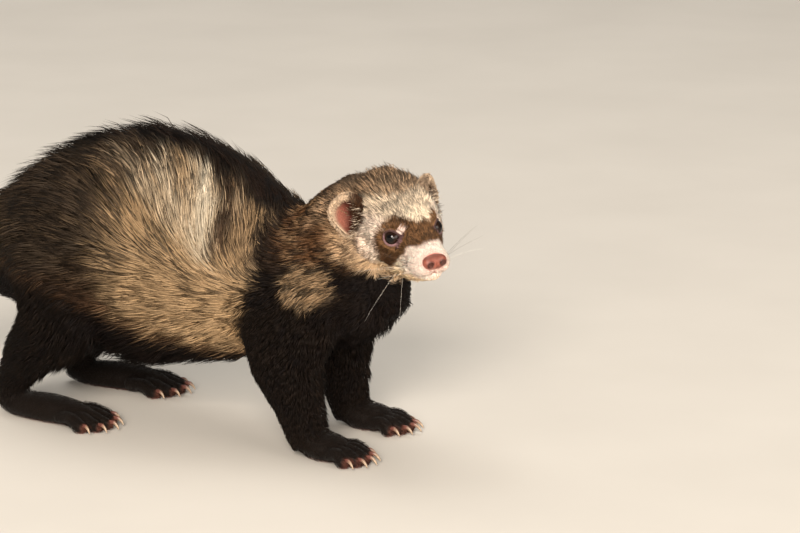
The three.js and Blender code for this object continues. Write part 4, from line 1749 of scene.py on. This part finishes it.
    def _colours(
        self, kind: CoatKind, places: list[Array], tone: Array, lock: Array, rng: Generator
    ) -> Array:
        """The tufts' colours from root to tip.

        Args:
            kind: The layer.
            places: The skin's nearest corners along each tuft.
            tone: How light each tuft is.
            lock: The number of its lock.
            rng: Where random numbers come from.

        Returns:
            Colours by tuft and by ring.
        """
        f = self.skin.field.paint
        middle = places[(len(places) - 1) // 2 + (len(places) > 3)]
        root, tip, guard = f.root[middle], f.tip[middle], f.guard[middle]
        dark = linear(Palette().ash_tip)
        chance = 0.55 * rng.random(lock.max() + 1)[lock] + 0.45 * rng.random(len(tone))
        taken = (chance < guard)[:, None]
        tip = np.where(taken, np.minimum(dark, tip), root * 0.3 + tip * 0.7)
        if not kind.guard:
            root = np.where(taken, root * 0.5 + dark * 0.5, root)
        shares = np.linspace(0, 1, len(places))
        mixed = [root * (1 - s) + tip * s for s in (shares**0.8 if kind.guard else shares * 0.75)]
        return np.clip(np.stack(mixed, axis=1) * tone[:, None, None], 0.002, 0.95)

    def tufts(
        self,
        kind: CoatKind,
        spine: Array,
        outward: Array,
        length: Array,
        colours: Array,
        chart: Array,
        finish: "CoatFinish",
    ) -> Object:
        """Builds closed tufts: a point at the root, one or more three-sided rings, and a point at the tip.

        Args:
            kind: The layer.
            spine: Each tuft's line from root to tip.
            outward: The skin's normal along it.
            length: The tufts' lengths.
            colours: Their colours along the line.
            chart: Where the roots lie on the unwrap.
            finish: The hair's finish.

        Returns:
            The layer's piece.
        """
        n, stops = spine.shape[:2]
        rings = stops - 2
        ahead = unit(np.gradient(spine, axis=1))
        across = unit(np.cross(outward, ahead))
        above = np.cross(ahead, across)
        width = kind.width * (0.55 + 0.45 * np.minimum(length / 12, 1.6))[:, None]
        corners, tints, spots = [spine[:, 0]], [colours[:, 0]], [(0, 0.5)]
        for stop in range(1, stops - 1):
            full = width * (1.0 if stop == 1 else 0.72)
            for aside, over in self.SECTION:
                corners.append(spine[:, stop] + across[:, stop] * full * aside + above[:, stop] * full * over)
                tints.append(colours[:, stop])
                spots.append((stop / (stops - 1), 0.5 + aside))
        corners = np.stack([*corners, spine[:, -1]], axis=1)
        tints = np.stack([*tints, colours[:, -1]], axis=1)
        spots = np.array([*spots, (1, 0.5)])
        pattern = [(0, 2, 1), (0, 3, 2), (0, 1, 3)]
        for ring in range(rings - 1):
            a = 1 + 3 * ring
            for k in range(3):
                b = (k + 1) % 3
                pattern += [(a + k, a + b, a + 3 + k), (a + b, a + 3 + b, a + 3 + k)]
        a, end = 1 + 3 * (rings - 1), 1 + 3 * rings
        pattern += [(a, a + 1, end), (a + 1, a + 2, end), (a + 2, a, end)]
        faces = (np.array(pattern)[None] + (np.arange(n) * corners.shape[1])[:, None, None]).reshape(-1, 3)
        made = mesh_of(kind.name, corners.reshape(-1, 3), faces)
        give_colours(made, tints.reshape(-1, 3))
        low, high = chart.min(axis=0), chart.max(axis=0)
        place = (chart - low)[:, None] / np.maximum(high - low, 1e-6)
        spots = place * (1 - 2 * self.PATCH) + self.PATCH * spots
        layer = made.uv_layers.new(name="OFBake")
        layer.data.foreach_set("uv", spots.reshape(-1, 2)[faces.ravel()].astype(np.float32).ravel())
        return show(kind.name, made, finish.material())


class Nodes:
    """A short hand for building a node tree."""

    def __init__(self, tree: NodeTree) -> None:
        """Keeps the tree and empties it."""
        self.tree = tree
        tree.nodes.clear()

    def add(self, kind: str, values: Values | None = None, **settings: object) -> Node:
        """Adds a node.

        Args:
            kind: The node's type.
            values: What its inputs are set to, or linked from.
            settings: The node's own settings.

        Returns:
            The new node.
        """
        node = self.tree.nodes.new(kind)
        for name, value in settings.items():
            setattr(node, name, value)
        for name, value in (values or {}).items():
            if isinstance(value, NodeSocket):
                self.tree.links.new(value, node.inputs[name])
            else:
                node.inputs[name].default_value = value
        return node

    def blend(self, share: object, a: object, b: object, mode: str = "MIX") -> NodeSocket:
        """The mix of two colours by a share."""
        return self.add("ShaderNodeMix", {0: share, 6: a, 7: b}, data_type="RGBA", blend_type=mode).outputs[2]

    def stained(self, share: float, colour: NodeSocket, stain: object) -> NodeSocket:
        """A colour darkened by a share of a stain."""
        return self.blend(share, colour, self.blend(1.0, colour, stain, "MULTIPLY"))

    def kept(self, name: str, output: str = "Fac") -> NodeSocket:
        """What the mesh keeps under a name."""
        return self.add("ShaderNodeAttribute", attribute_name=name).outputs[output]

    def ramp(self, value: NodeSocket, stops: tuple[tuple[float, str], ...]) -> NodeSocket:
        """A colour that changes with a value.

        Args:
            value: The value.
            stops: Places on it, each with its colour.

        Returns:
            The colour.
        """
        node = self.add("ShaderNodeValToRGB", {0: value})
        bands = node.color_ramp.elements
        while len(bands) < len(stops):
            bands.new(0.5)
        for band, (place, colour) in zip(bands, stops):
            band.position, band.color = place, (*linear(colour), 1)
        return node.outputs[0]

    def noise(self, scale: float, detail: float = 3.0, stretch: Point = (1, 1, 1)) -> NodeSocket:
        """Noise over the piece's own coordinates.

        Args:
            scale: How fine it is.
            detail: How many finer noises are laid over it.
            stretch: How it is stretched along each axis.

        Returns:
            Its value.
        """
        place = self.add("ShaderNodeTexCoord").outputs["Object"]
        mapped = self.add("ShaderNodeMapping", {"Vector": place, "Scale": stretch}).outputs[0]
        return self.add("ShaderNodeTexNoise", {"Vector": mapped, "Scale": scale, "Detail": detail}).outputs[0]

    def bump(self, height: NodeSocket, strength: float, distance: float) -> NodeSocket:
        """A bumpy normal."""
        values = {"Height": height, "Strength": strength, "Distance": distance}
        return self.add("ShaderNodeBump", values).outputs[0]

    def surface(self, values: Values) -> None:
        """Ends the tree in a surface with these properties."""
        shader = self.add("ShaderNodeBsdfPrincipled", values)
        self.add("ShaderNodeOutputMaterial", {"Surface": shader.outputs[0]})


def fresh_material(name: str) -> tuple[Material, Nodes]:
    """A new material with an empty tree."""
    made = bpy.data.materials.new(name)
    made.use_nodes = True
    return made, Nodes(made.node_tree)


@dataclass(frozen=True)
class CoatFinish:
    """Hair, or the skin under it, in the colours kept by the mesh, with a fine grain."""

    name: str
    roughness: float = 0.55
    sheen: float = 0.0
    grain: float = 0.3
    cell: float = 700.0
    relief: float = 0.0

    def material(self) -> Material:
        """The finish, made once.

        Returns:
            The material.
        """
        made = bpy.data.materials.get(self.name)
        if made:
            return made
        made, nodes = fresh_material(self.name)
        speck = nodes.noise(self.cell, 2.0)
        shade = nodes.ramp(speck, ((0.3, "#a0a0a0"), (0.7, "#ffffff")))
        values: Values = {
            "Base Color": nodes.stained(self.grain, nodes.kept("coat_colour", "Color"), shade),
            "Roughness": self.roughness,
            "Specular IOR Level": 0.12,
            "Sheen Weight": self.sheen,
        }
        if self.relief:
            values["Normal"] = nodes.bump(speck, self.relief, 0.0006)
        nodes.surface(values)
        return made


@dataclass(frozen=True)
class EyeFinish:
    """A wet, dark brown eye with a black pupil."""

    roughness: float = 0.04
    # From the front to the side of the ball
    rings: tuple[tuple[float, str], ...] = (
        (0.0, "#050404"), (0.24, "#060404"), (0.3, "#1a0d07"), (0.5, "#221108"),
        (0.6, "#100906"), (0.8, "#0c0807"), (1.0, "#2a1512"),
    )

    def material(self) -> Material:
        """The finish.

        Returns:
            The material.
        """
        made, nodes = fresh_material("eye")
        iris = nodes.ramp(nodes.kept("polar"), self.rings)
        fibre = nodes.ramp(nodes.noise(1500.0, 4.0), ((0.3, "#606060"), (0.7, "#ffffff")))
        colour = nodes.stained(0.35, iris, fibre)
        nodes.surface({"Base Color": colour, "Roughness": self.roughness, "IOR": 1.34})
        return made


@dataclass(frozen=True)
class NoseFinish:
    """The nose's moist pink leather, dark red in the nostrils and with painted shadow along its top edge."""

    pad: str = "#8a4632"
    # The dark red of the nostrils, also used as painted shadow along the pad's top edge
    dark: str = "#3b150a"

    def material(self) -> Material:
        """The finish.

        Returns:
            The material.
        """
        made, nodes = fresh_material("nose")
        given = {"Vector": nodes.add("ShaderNodeTexCoord").outputs["Object"], "Scale": 1900.0}
        cobbles = nodes.add("ShaderNodeTexVoronoi", given, feature="DISTANCE_TO_EDGE").outputs[0]
        grain = nodes.ramp(cobbles, ((0.0, "#000000"), (0.35, "#ffffff")))
        tone = nodes.ramp(nodes.noise(420.0, 3.0), ((0.3, "#74392b"), (0.7, "#a6604f")))
        colour = nodes.stained(0.22, nodes.blend(0.6, (*linear(self.pad), 1), tone), grain)
        nodes.surface(
            {
                "Base Color": nodes.blend(nodes.kept("deep"), colour, (*linear(self.dark), 1)),
                "Roughness": 0.38,
                "Subsurface Weight": 0.15,
                "Subsurface Scale": 0.001,
                "Subsurface Radius": (1.0, 0.3, 0.2),
                "Normal": nodes.bump(grain, 0.35, 0.0003),
            }
        )
        return made


@dataclass(frozen=True)
class StrandFinish:
    """Claw horn or whisker hair, from one colour at the root to another at the tip."""

    name: str
    root: str
    tip: str
    roughness: float = 0.35

    def material(self) -> Material:
        """The finish.

        Returns:
            The material.
        """
        made, nodes = fresh_material(self.name)
        colour = nodes.ramp(nodes.kept("along"), ((0.3, self.root), (0.75, self.tip)))
        streak = nodes.ramp(nodes.noise(900.0, 2.0), ((0.3, "#cfcfcf"), (0.7, "#ffffff")))
        nodes.surface({"Base Color": nodes.stained(0.8, colour, streak), "Roughness": self.roughness})
        return made


class Eyes:
    """The two eyes, each a ball with a slightly raised cornea."""

    CORNEA = 0.3  # how far it stands out, in millimetres
    RINGS, SIDES = 48, 64  # how many steps lie from front to back, and how many points round

    def __init__(self, face: Face, finish: EyeFinish) -> None:
        """Keeps the head's features and the eyes' finish."""
        self.face, self.finish = face, finish

    def build(self) -> list[Object]:
        """Makes both eyes in place of the frame's.

        Returns:
            The left eye and the right one.
        """
        polar = np.linspace(0, np.pi, self.RINGS + 1)[1:-1, None]
        turn = np.linspace(0, 2 * np.pi, self.SIDES, endpoint=False)
        radius = self.face.eye_radius + self.CORNEA * np.exp(-((polar / 0.62) ** 2))
        out = radius * np.sin(polar)
        ring = np.stack([radius * np.cos(polar) + 0 * turn, out * np.cos(turn), out * np.sin(turn)], axis=-1)
        front, back = [self.face.eye_radius + self.CORNEA, 0, 0], [-self.face.eye_radius, 0, 0]
        local = np.vstack([front, ring.reshape(-1, 3), back])
        points = local @ np.stack(self.face.gaze_axes()) + self.face.eye
        n, last = self.SIDES, len(points) - 1
        faces = [(0, 1 + k, 1 + (k + 1) % n) for k in range(n)]
        faces += [(1 + a, 1 + d, 1 + c, 1 + b) for a, b, c, d in ring_faces(self.RINGS - 2, n)[:-2]]
        faces += [(last - n + k, last, last - n + (k + 1) % n) for k in range(n)]
        angle = np.concatenate([[0], np.repeat(polar[:, 0], n), [np.pi]]) / (np.pi / 2)
        finish = self.finish.material()
        made = []
        for name, sign in (("left", 1), ("right", -1)):
            own = faces if sign > 0 else [face[::-1] for face in faces]
            mesh = mesh_of(f"eye_ball_{name}", HOLD.out(points * [sign, 1, 1]), own)
            keep_values(mesh, "polar", np.minimum(angle, 1))
            made.append(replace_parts(show(f"eye_ball_{name}", mesh, finish), f"eye_{name}"))
        return made


class Nose:
    """The nose pad with its wings, nostrils and the groove between them."""

    def __init__(self, face: Face, finish: NoseFinish) -> None:
        """Keeps the shapes that make the pad.

        Args:
            face: The head's features.
            finish: The pad's finish.
        """
        self.finish = finish
        self.pad = Ball(face.nose, face.nose_radii)
        self.wing = Ball((3.4, 1.5, 0.3), (2.3, 2.5, 2.5))
        self.nostril = Ball((3.0, -0.7, 0.1), (1.3, 2.0, 1.15), (0, 20, 0))
        self.slit = np.array([[3.6, 0.2, 0.0], [5.0, 1.6, -1.0], [5.8, 2.8, -1.3]])
        self.groove = np.array([[0, -1.2, 1.8], [0, -1.0, -0.5], [0, 0.2, -3.6]])

    def reach(self, q: Array) -> Array:
        """How far points lie outside the pad.

        Args:
            q: Points of the head's frame.

        Returns:
            The distances, less than 0 inside.
        """
        p = np.hstack([np.abs(q[:, :1]), q[:, 1:]])
        body = soft_min(self.pad.reach(p), self.wing.reach(p), 1.6)
        body = soft_max(body, -self.nostril.reach(p), 0.5)
        body = soft_max(body, 0.35 - distance_to_path(p, self.slit), 0.4)
        return soft_max(body, 0.42 - distance_to_path(p, self.groove), 0.5)

    def build(self) -> Object:
        """Makes the pad in place of the frame's.

        Returns:
            The pad.
        """
        work = bmesh.new()
        bmesh.ops.create_icosphere(work, subdivisions=6, radius=1)
        shape = bpy.data.meshes.new("nose_ball")
        work.to_mesh(shape)
        work.free()
        sphere, faces = arrays_of(shape)
        start = sphere * [6.4, 3.6, 4.4] + self.pad.at
        points = settle(start, self.reach, steps=5, stride=1.2)
        mesh = mesh_of("nose_pad", HOLD.out(points), faces)
        p = np.hstack([np.abs(points[:, :1]), points[:, 1:]])
        # The nostrils and slits are darkened for their red insides; the top of the pad is darkened as painted
        # shadow.
        nostril, top = ease(self.nostril.reach(p), 1.5, -0.2), 0.5 * ease(p[:, 2], 1.0, 3.4)
        deep = np.maximum.reduce([nostril, 0.8 * ease(distance_to_path(p, self.slit), 1.3, 0.3), top])
        blob = np.exp(-((p[:, 0] / 1.5) ** 2) - ((p[:, 2] + 1.2) / 1.9) ** 2)
        keep_values(mesh, "deep", deep * (1 - 0.9 * blob) - 0.35 * blob)
        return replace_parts(show("nose_pad", mesh, self.finish.material()), "nose")


@dataclass
class Strand:
    """One claw or whisker: the points that it passes through, and its radius at each, in millimetres."""

    points: Array
    radii: Array


class StrandTree:
    """A Geometry Nodes tree that turns lines into round, tapered strands."""

    def __init__(
        self, name: str, finish: Material, sides: int, steps: int, flat: float = 1.0
    ) -> None:
        """Builds the tree.

        Args:
            name: What it is called.
            finish: The strands' finish.
            sides: How many points lie round a strand.
            steps: How many points lie along it.
            flat: The width of a strand as a share of its height.
        """
        self.settings = {"Sides": sides, "Steps": steps, "Width": flat}
        self.finish = finish
        self.tree = bpy.data.node_groups.new(name, "GeometryNodeTree")
        for key, kind in (("Geometry", "Geometry"), ("Sides", "Int"), ("Steps", "Int"), ("Width", "Float")):
            self.tree.interface.new_socket(key, in_out="INPUT", socket_type=f"NodeSocket{kind}")
        self.tree.interface.new_socket("Geometry", in_out="OUTPUT", socket_type="NodeSocketGeometry")
        nodes = Nodes(self.tree)
        given = nodes.add("NodeGroupInput").outputs
        line = nodes.add("GeometryNodeMeshToCurve", {"Mesh": given["Geometry"]}).outputs[0]
        line = nodes.add("GeometryNodeCurveSplineType", {"Curve": line}, spline_type="CATMULL_ROM").outputs[0]
        thick = nodes.add("GeometryNodeInputNamedAttribute", {"Name": "thick"}, data_type="FLOAT").outputs[0]
        line = nodes.add("GeometryNodeSetCurveRadius", {"Curve": line, "Radius": thick}).outputs[0]
        line = nodes.add("GeometryNodeResampleCurve", {"Curve": line, "Count": given["Steps"]}).outputs[0]
        round_of = {"Resolution": given["Sides"], "Radius": 1.0}
        ring = nodes.add("GeometryNodeCurvePrimitiveCircle", round_of).outputs[0]
        size = nodes.add("ShaderNodeCombineXYZ", {0: given["Width"], 1: 1.0, 2: 1.0}).outputs[0]
        ring = nodes.add("GeometryNodeTransform", {"Geometry": ring, "Scale": size}).outputs[0]
        tube = nodes.add("GeometryNodeCurveToMesh", {"Curve": line, "Profile Curve": ring, "Fill Caps": True})
        if "Scale" in tube.inputs:
            radius = nodes.add("GeometryNodeInputRadius").outputs[0]
            self.tree.links.new(radius, tube.inputs["Scale"])
        whole = nodes.add("GeometryNodeRealizeInstances", {"Geometry": tube.outputs[0]}).outputs[0]
        whole = nodes.add("GeometryNodeSetShadeSmooth", {"Geometry": whole, "Shade Smooth": True}).outputs[0]
        whole = nodes.add("GeometryNodeSetMaterial", {"Geometry": whole, "Material": finish}).outputs[0]
        nodes.add("NodeGroupOutput", {"Geometry": whole})

    def grow(self, name: str, strands: list[Strand], slot: str) -> Object:
        """Makes a piece of strands.

        Args:
            name: The piece's name.
            strands: The strands.
            slot: The name of the record's slot for their finish; it is not used.

        Returns:
            The piece.
        """
        counts = [len(strand.points) for strand in strands]
        starts = np.concatenate([[0], np.cumsum(counts)[:-1]])
        lines = bpy.data.meshes.new(f"{name}_lines")
        points = PLACE.set(np.vstack([strand.points for strand in strands]))
        edges = [(start + k, start + k + 1) for start, count in zip(starts, counts) for k in range(count - 1)]
        lines.from_pydata(points.tolist(), edges, [])
        keep_values(lines, "thick", np.concatenate([strand.radii for strand in strands]) * MM)
        keep_values(lines, "along", np.concatenate([np.linspace(0, 1, count) for count in counts]))
        holder = placed(f"{name}_lines", lines)
        maker = holder.modifiers.new("strands", "NODES")
        maker.node_group = self.tree
        for socket in self.tree.interface.items_tree:
            if socket.in_out == "INPUT" and socket.name in self.settings:
                maker[socket.identifier] = self.settings[socket.name]
        whole = bpy.data.meshes.new_from_object(holder.evaluated_get(bpy.context.evaluated_depsgraph_get()))
        holder.modifiers.remove(maker)
        bpy.data.objects.remove(holder)
        return show(name, whole, self.finish)


class Claws:
    """The claws of all four feet."""

    # From the root inside the toe to the tip, in millimetres
    HEIGHTS = (3.9, 4.4, 4.0, 2.7, 1.3)
    RADII = (1.0, 1.05, 0.85, 0.55, 0.2)

    def __init__(self, flesh: Flesh) -> None:
        """Reads where the toes end."""
        self.feet = flesh.feet

    def build(self, finish: StrandFinish) -> Object:
        """Grows a claw from the tip of each toe.

        Args:
            finish: The claws' finish.

        Returns:
            The claws' piece.
        """
        strands = []
        for foot in self.feet:
            claw = foot.sizes.claw
            for start, ahead, length in foot.sizes.roots(foot.sign):
                far = [length * 0.86, *(length + claw * share for share in (0.1, 0.45, 0.8, 1))]
                points = [start + ahead * out + [0, 0, high] for out, high in zip(far, self.HEIGHTS)]
                strands.append(Strand(np.array(points), np.array(self.RADII)))
        return StrandTree("claw_tree", finish.material(), 12, 18, 0.8).grow("claws", strands, "sable_coat")


class Whiskers:
    """The whiskers of both sides of the muzzle, and a few over the eyes and under the chin."""

    # Each root on the left side of the head's frame, the way it goes, its length and how it droops
    ROOTS: tuple[tuple[Point, Point, float, float], ...] = (
        ((8.4, 8.6, -2.6), (0.9, 0.42, 0.2), 28, 0.2),
        ((8.2, 7.4, -1.2), (0.86, 0.36, 0.34), 26, 0.15),
        ((7.6, 5.4, -1.0), (0.85, 0.3, 0.38), 29, 0.15),
        ((7.4, 26.0, 13.0), (0.5, 0.3, 0.8), 14, 0.1),
        ((7.6, 5.6, -2.8), (0.92, 0.3, 0.06), 29, 0.3),
        ((8.0, 8.0, -4.5), (0.75, 0.6, 0.0), 24, 0.15),
        ((7.0, 7.0, -5.5), (0.7, 0.6, -0.1), 20, 0.2),
        ((4.0, 11.0, -11.5), (0.2, 0.4, -0.9), 9, 0.1),
    )
    # The same for those under the throat, which stand to the right of its middle
    THROAT: tuple[tuple[Point, Point, float, float], ...] = (
        ((5.2, 34.0, -19.5), (0.79, -0.43, -0.43), 27, 0.2),
        ((1.8, 32.0, -19.0), (0.5, -0.65, -0.55), 23, 0.45),
        ((-1.0, 30.0, -18.5), (0.2, -0.8, -0.6), 16, 0.2),
    )
    DARK: int = 4  # how many of the first rows are dark

    @staticmethod
    def strands(sign: int, rows: tuple[tuple[Point, Point, float, float], ...]) -> list[Strand]:
        """The whiskers of one side.

        Args:
            sign: 1 on the left and -1 on the right.
            rows: Their roots, ways, lengths and droops.

        Returns:
            The whiskers.
        """
        rng = np.random.default_rng(7 + sign)
        made = []
        for root, way, length, droop in rows:
            heading = unit(np.array(way) + rng.normal(0, 0.07, 3))
            share = np.linspace(0, 1, 7)[:, None]
            points = np.array(root) + heading * length * rng.uniform(0.85, 1.1) * (share - 0.06)
            points[:, 0] *= sign
            body = HOLD.out(points)
            body[:, 2] -= droop * length * share[:, 0] ** 2 * 0.5
            made.append(Strand(body, np.linspace(0.05, 0.015, 7)))
        return made

    def build(self, pale: StrandFinish, dark: StrandFinish) -> list[Object]:
        """Grows the pale lower whiskers and the dark upper ones.

        Args:
            pale: The finish of the lower ones.
            dark: That of the upper ones.

        Returns:
            Both pieces.
        """
        rows = [strand for sign in (1, -1) for strand in self.strands(sign, self.ROOTS)]
        each = len(self.ROOTS)
        upper = [strand for k, strand in enumerate(rows) if k % each < self.DARK]
        lower = [strand for k, strand in enumerate(rows) if k % each >= self.DARK]
        lower += self.strands(-1, self.THROAT)
        made = []
        for tone, finish, strands in (("pale", pale, lower), ("dark", dark, upper)):
            tree = StrandTree(f"{tone}_whisker_tree", finish.material(), 6, 18)
            made.append(tree.grow(f"whiskers_{tone}", strands, "face_coat"))
        return made


@dataclass(frozen=True)
class Studio:
    """The pale floor, the soft lights and the camera, in the body's millimetres."""

    camera: Point = (-1225.91, -653.39, 431.91)
    right: Point = (0.4509, -0.8926, 0)
    up: Point = (0.2159, 0.1091, 0.9703)
    lens: float = 85.0
    sensor: float = 22.3
    floor: str = "#cfcac2"

    def build(self) -> None:
        """Lays the floor, hangs the lights and sets the camera."""
        self._floor()
        for name, place, size, watts, tint in (
            ("key_light", (-3050, -1000, 1600), 1400, 185, (1, 0.9, 0.79)),
            ("fill_light", (-900, -3000, 900), 1800, 45, (1, 0.92, 0.83)),
            ("top_light", (700, 800, 3000), 2000, 42, (1, 0.96, 0.9)),
            ("low_light", (-2200, -1700, 220), 1300, 55, (1, 0.92, 0.82)),
        ):
            self._light(name, np.array(place, float), size, watts, tint)
        world = bpy.data.worlds.new("studio")
        world.use_nodes = True
        background = world.node_tree.nodes["Background"].inputs
        background["Color"].default_value = (0.9, 0.87, 0.82, 1)
        background["Strength"].default_value = 0.3
        bpy.context.scene.world = world
        bpy.context.scene.view_settings.view_transform = "Standard"
        self._camera()

    def _floor(self) -> None:
        """A broad, plain, pale floor."""
        size = 6000
        corners = np.array([(-size, -size, 0), (size, -size, 0), (size, size, 0), (-size, size, 0)], float)
        mesh = mesh_of("floor", corners, [(0, 1, 2, 3)], smooth=False)
        made, nodes = fresh_material("floor")
        tone = nodes.ramp(nodes.noise(9.0, 4.0), ((0.3, self.floor), (0.7, "#d4cfc7")))
        nodes.surface({"Base Color": tone, "Roughness": 0.75})
        mesh.materials.append(made)
        placed("floor", mesh)

    @staticmethod
    def _light(name: str, place: Array, size: float, watts: float, tint: Point) -> None:
        """Hangs one soft light that faces the body.

        Args:
            name: What it is called.
            place: Where it hangs, in the body's millimetres.
            size: How wide it is.
            watts: Its power.
            tint: Its colour.
        """
        lamp = bpy.data.lights.new(name, "AREA")
        lamp.size, lamp.energy, lamp.color = size * MM, watts, tint
        ahead = unit(np.array([0, 40, 80.0]) - place)
        right = unit(np.cross(ahead, [0, 0, 1.0]))
        placed(name, lamp).matrix_world = matrix_at(PLACE.set(place), right, -ahead)

    def _camera(self) -> None:
        """Sets the camera at the photograph's angle."""
        lens = bpy.data.cameras.new("camera")
        lens.lens, lens.sensor_width, lens.clip_start = self.lens, self.sensor, 0.05
        held = placed("camera", lens)
        right, up = unit(np.array(self.right)), np.array(self.up)
        held.matrix_world = matrix_at(PLACE.set(np.array(self.camera)), right, unit(np.cross(right, up)))
        bpy.context.scene.camera = held


def matrix_at(place: Array, right: Array, back: Array) -> Matrix:
    """The matrix of an object at a place, with its own x to the right and its z backwards."""
    turn = np.stack([right, np.cross(back, right), back], axis=1)
    return Matrix(np.vstack([np.hstack([turn, place[:, None]]), [0, 0, 0, 1]]).tolist())


COAT_KINDS: tuple[CoatKind, ...] = (
    CoatKind("flank_under_left", Region.TRUNK, "pale_coat", 10000, 1, 0.8, 1.2, 0.7, 0.5, 9, side=1, seed=11),
    CoatKind("flank_under_right", Region.TRUNK, "pale_coat", 12000, 1, 0.8, 1.2, 0.7, 0.5, 9, side=-1, seed=12),
    CoatKind("flank_guard_left", Region.TRUNK, "pale_coat", 16000, 2, 1, 0.48, 1.1, 0.7, 11, True, 1, seed=13),
    CoatKind("flank_guard_right", Region.TRUNK, "pale_coat", 16600, 2, 1, 0.46, 1.1, 0.7, 11, True, -1, seed=14),
    CoatKind("neck_coat", Region.NECK, "brown_coat", 14000, 2, 0.95, 0.55, 1.1, 0.6, 10, True, seed=15),
    CoatKind("head_coat_left", Region.HEAD, "face_coat", 26000, 1, 1.4, 0.34, 0.9, 0.3, 8, seed=16, side=1),
    CoatKind("head_coat_right", Region.HEAD, "face_coat", 33000, 1, 1.4, 0.32, 0.9, 0.3, 8, seed=17, side=-1),
    CoatKind("ear_coat", Region.EAR, "face_coat", 12000, 1, 1.0, 0.36, 1.0, 0.5, 7, seed=18, least=1.2),
    CoatKind("foreleg_coat", Region.FORELEG, "sable_coat", 15000, 1, 0.9, 0.6, 0.9, 0.45, 9, seed=19),
    CoatKind("hindleg_coat", Region.HINDLEG, "sable_coat", 12000, 1, 0.9, 0.6, 0.9, 0.45, 9, seed=20),
    CoatKind("tail_coat", Region.TAIL, "sable_coat", 8000, 2, 1.0, 0.5, 1.0, 0.45, 9, True, seed=21),
    CoatKind("foot_coat", Region.FOOT, "sable_coat", 12000, 1, 0.75, 0.4, 0.9, 0.2, 8, seed=22, least=1.6),
)


class Fringe:
    """The long hair along the front edge of each ear, which leans over the opening."""

    KIND = CoatKind("ear_fringe", Region.EAR, "face_coat", 900, 2, 1.0, 0.22, 1.0, 0.4, 7, seed=31)

    def __init__(self, shape: EarShape) -> None:
        """Keeps the ear's sizes."""
        self.shape = shape

    def build(self, coat: Coat, finish: CoatFinish) -> Object:
        """Grows the fringe of both ears.

        Args:
            coat: The coat, which makes the tufts.
            finish: The hair's finish.

        Returns:
            The fringe's piece.
        """
        rng = np.random.default_rng(self.KIND.seed)
        n = self.KIND.count
        sign = np.where(np.arange(n) % 2 == 0, 1, -1)
        high, deep = rng.uniform(-0.9, 0.95, n), rng.random(n)
        wide, _, tall = self.shape.radii
        x = -wide * 0.88 * np.sqrt(1 - high**2) * (0.8 + 0.45 * deep)
        roots = np.stack([x, 0.6 + 0.8 * deep, tall * high], axis=1)
        way = np.stack([0.65 + 0 * x, -0.62 + 0 * x, 0.35 * high], axis=1) + rng.normal(0, 0.25, (n, 3))
        length = rng.uniform(4.5, 9.0, n) * np.where(high > 0.5, 0.65, 1.0) * (0.8 + 0.4 * deep)
        share = np.array([-0.05, 0.4, 0.75, 1.0])
        local = roots[:, None] + unit(way)[:, None] * (length[:, None] * share)[..., None]
        local[..., 1] += 1.6 * share**2
        local[..., 0] *= sign[:, None]
        spine, outward = np.zeros_like(local), np.zeros((n, 3))
        for side in (1, -1):
            own, turn = sign == side, self.shape.matrix(side)
            held = local[own].reshape(-1, 3) @ turn.T + self.shape.middle(side)
            spine[own] = HOLD.out(held).reshape(-1, 4, 3)
            outward[own] = HOLD.matrix @ turn @ [0, -1, 0]
        c = Palette()
        spine, lock = coat.gathered(spine, self.KIND, rng)
        dark = (rng.random(n)[lock] < 0.55 + 0.45 * ease(high, 0.2, 0.6))[:, None]
        colour = np.where(dark, linear(c.ear_edge), linear(c.warm_white)) * rng.uniform(0.75, 1.1, (n, 1))
        chart = np.stack([(high + 1) / 2, (deep + (sign > 0)) / 2], axis=1)
        colours, outward = (np.repeat(rows[:, None], 4, axis=1) for rows in (colour, outward))
        return coat.tufts(self.KIND, spine, outward, length, colours, chart, finish)


def main() -> None:
    """Builds the ferret and the studio."""
    logging.basicConfig(level=logging.INFO, format="%(name)s: %(message)s")
    Studio().build()
    flesh = Flesh(FACE)
    ears = [Ear(EarShape(at=(19.4, 46, 9.8), radii=(8.1, 3.3, 9.6), turn=60.0), 1), Ear(EarShape(), -1)]
    skin = Skin(flesh, ears)
    skin.dress(CoatFinish("skin", 0.6, 0.05, 0.6, 1600.0, 0.5))
    coat = Coat(skin)
    hair = CoatFinish("hair")
    for kind in COAT_KINDS:
        coat.grow(kind, hair)
    Fringe(EarShape()).build(coat, hair)
    Eyes(FACE, EyeFinish()).build()
    Nose(FACE, NoseFinish()).build()
    Claws(flesh).build(StrandFinish("claw", "#6a4138", "#ab937a"))
    pale = StrandFinish("pale_whisker", "#e6ded0", "#f4efe6")
    Whiskers().build(pale, StrandFinish("dark_whisker", "#3a2a22", "#5b4a3f"))


if __name__ == "__main__":
    main()
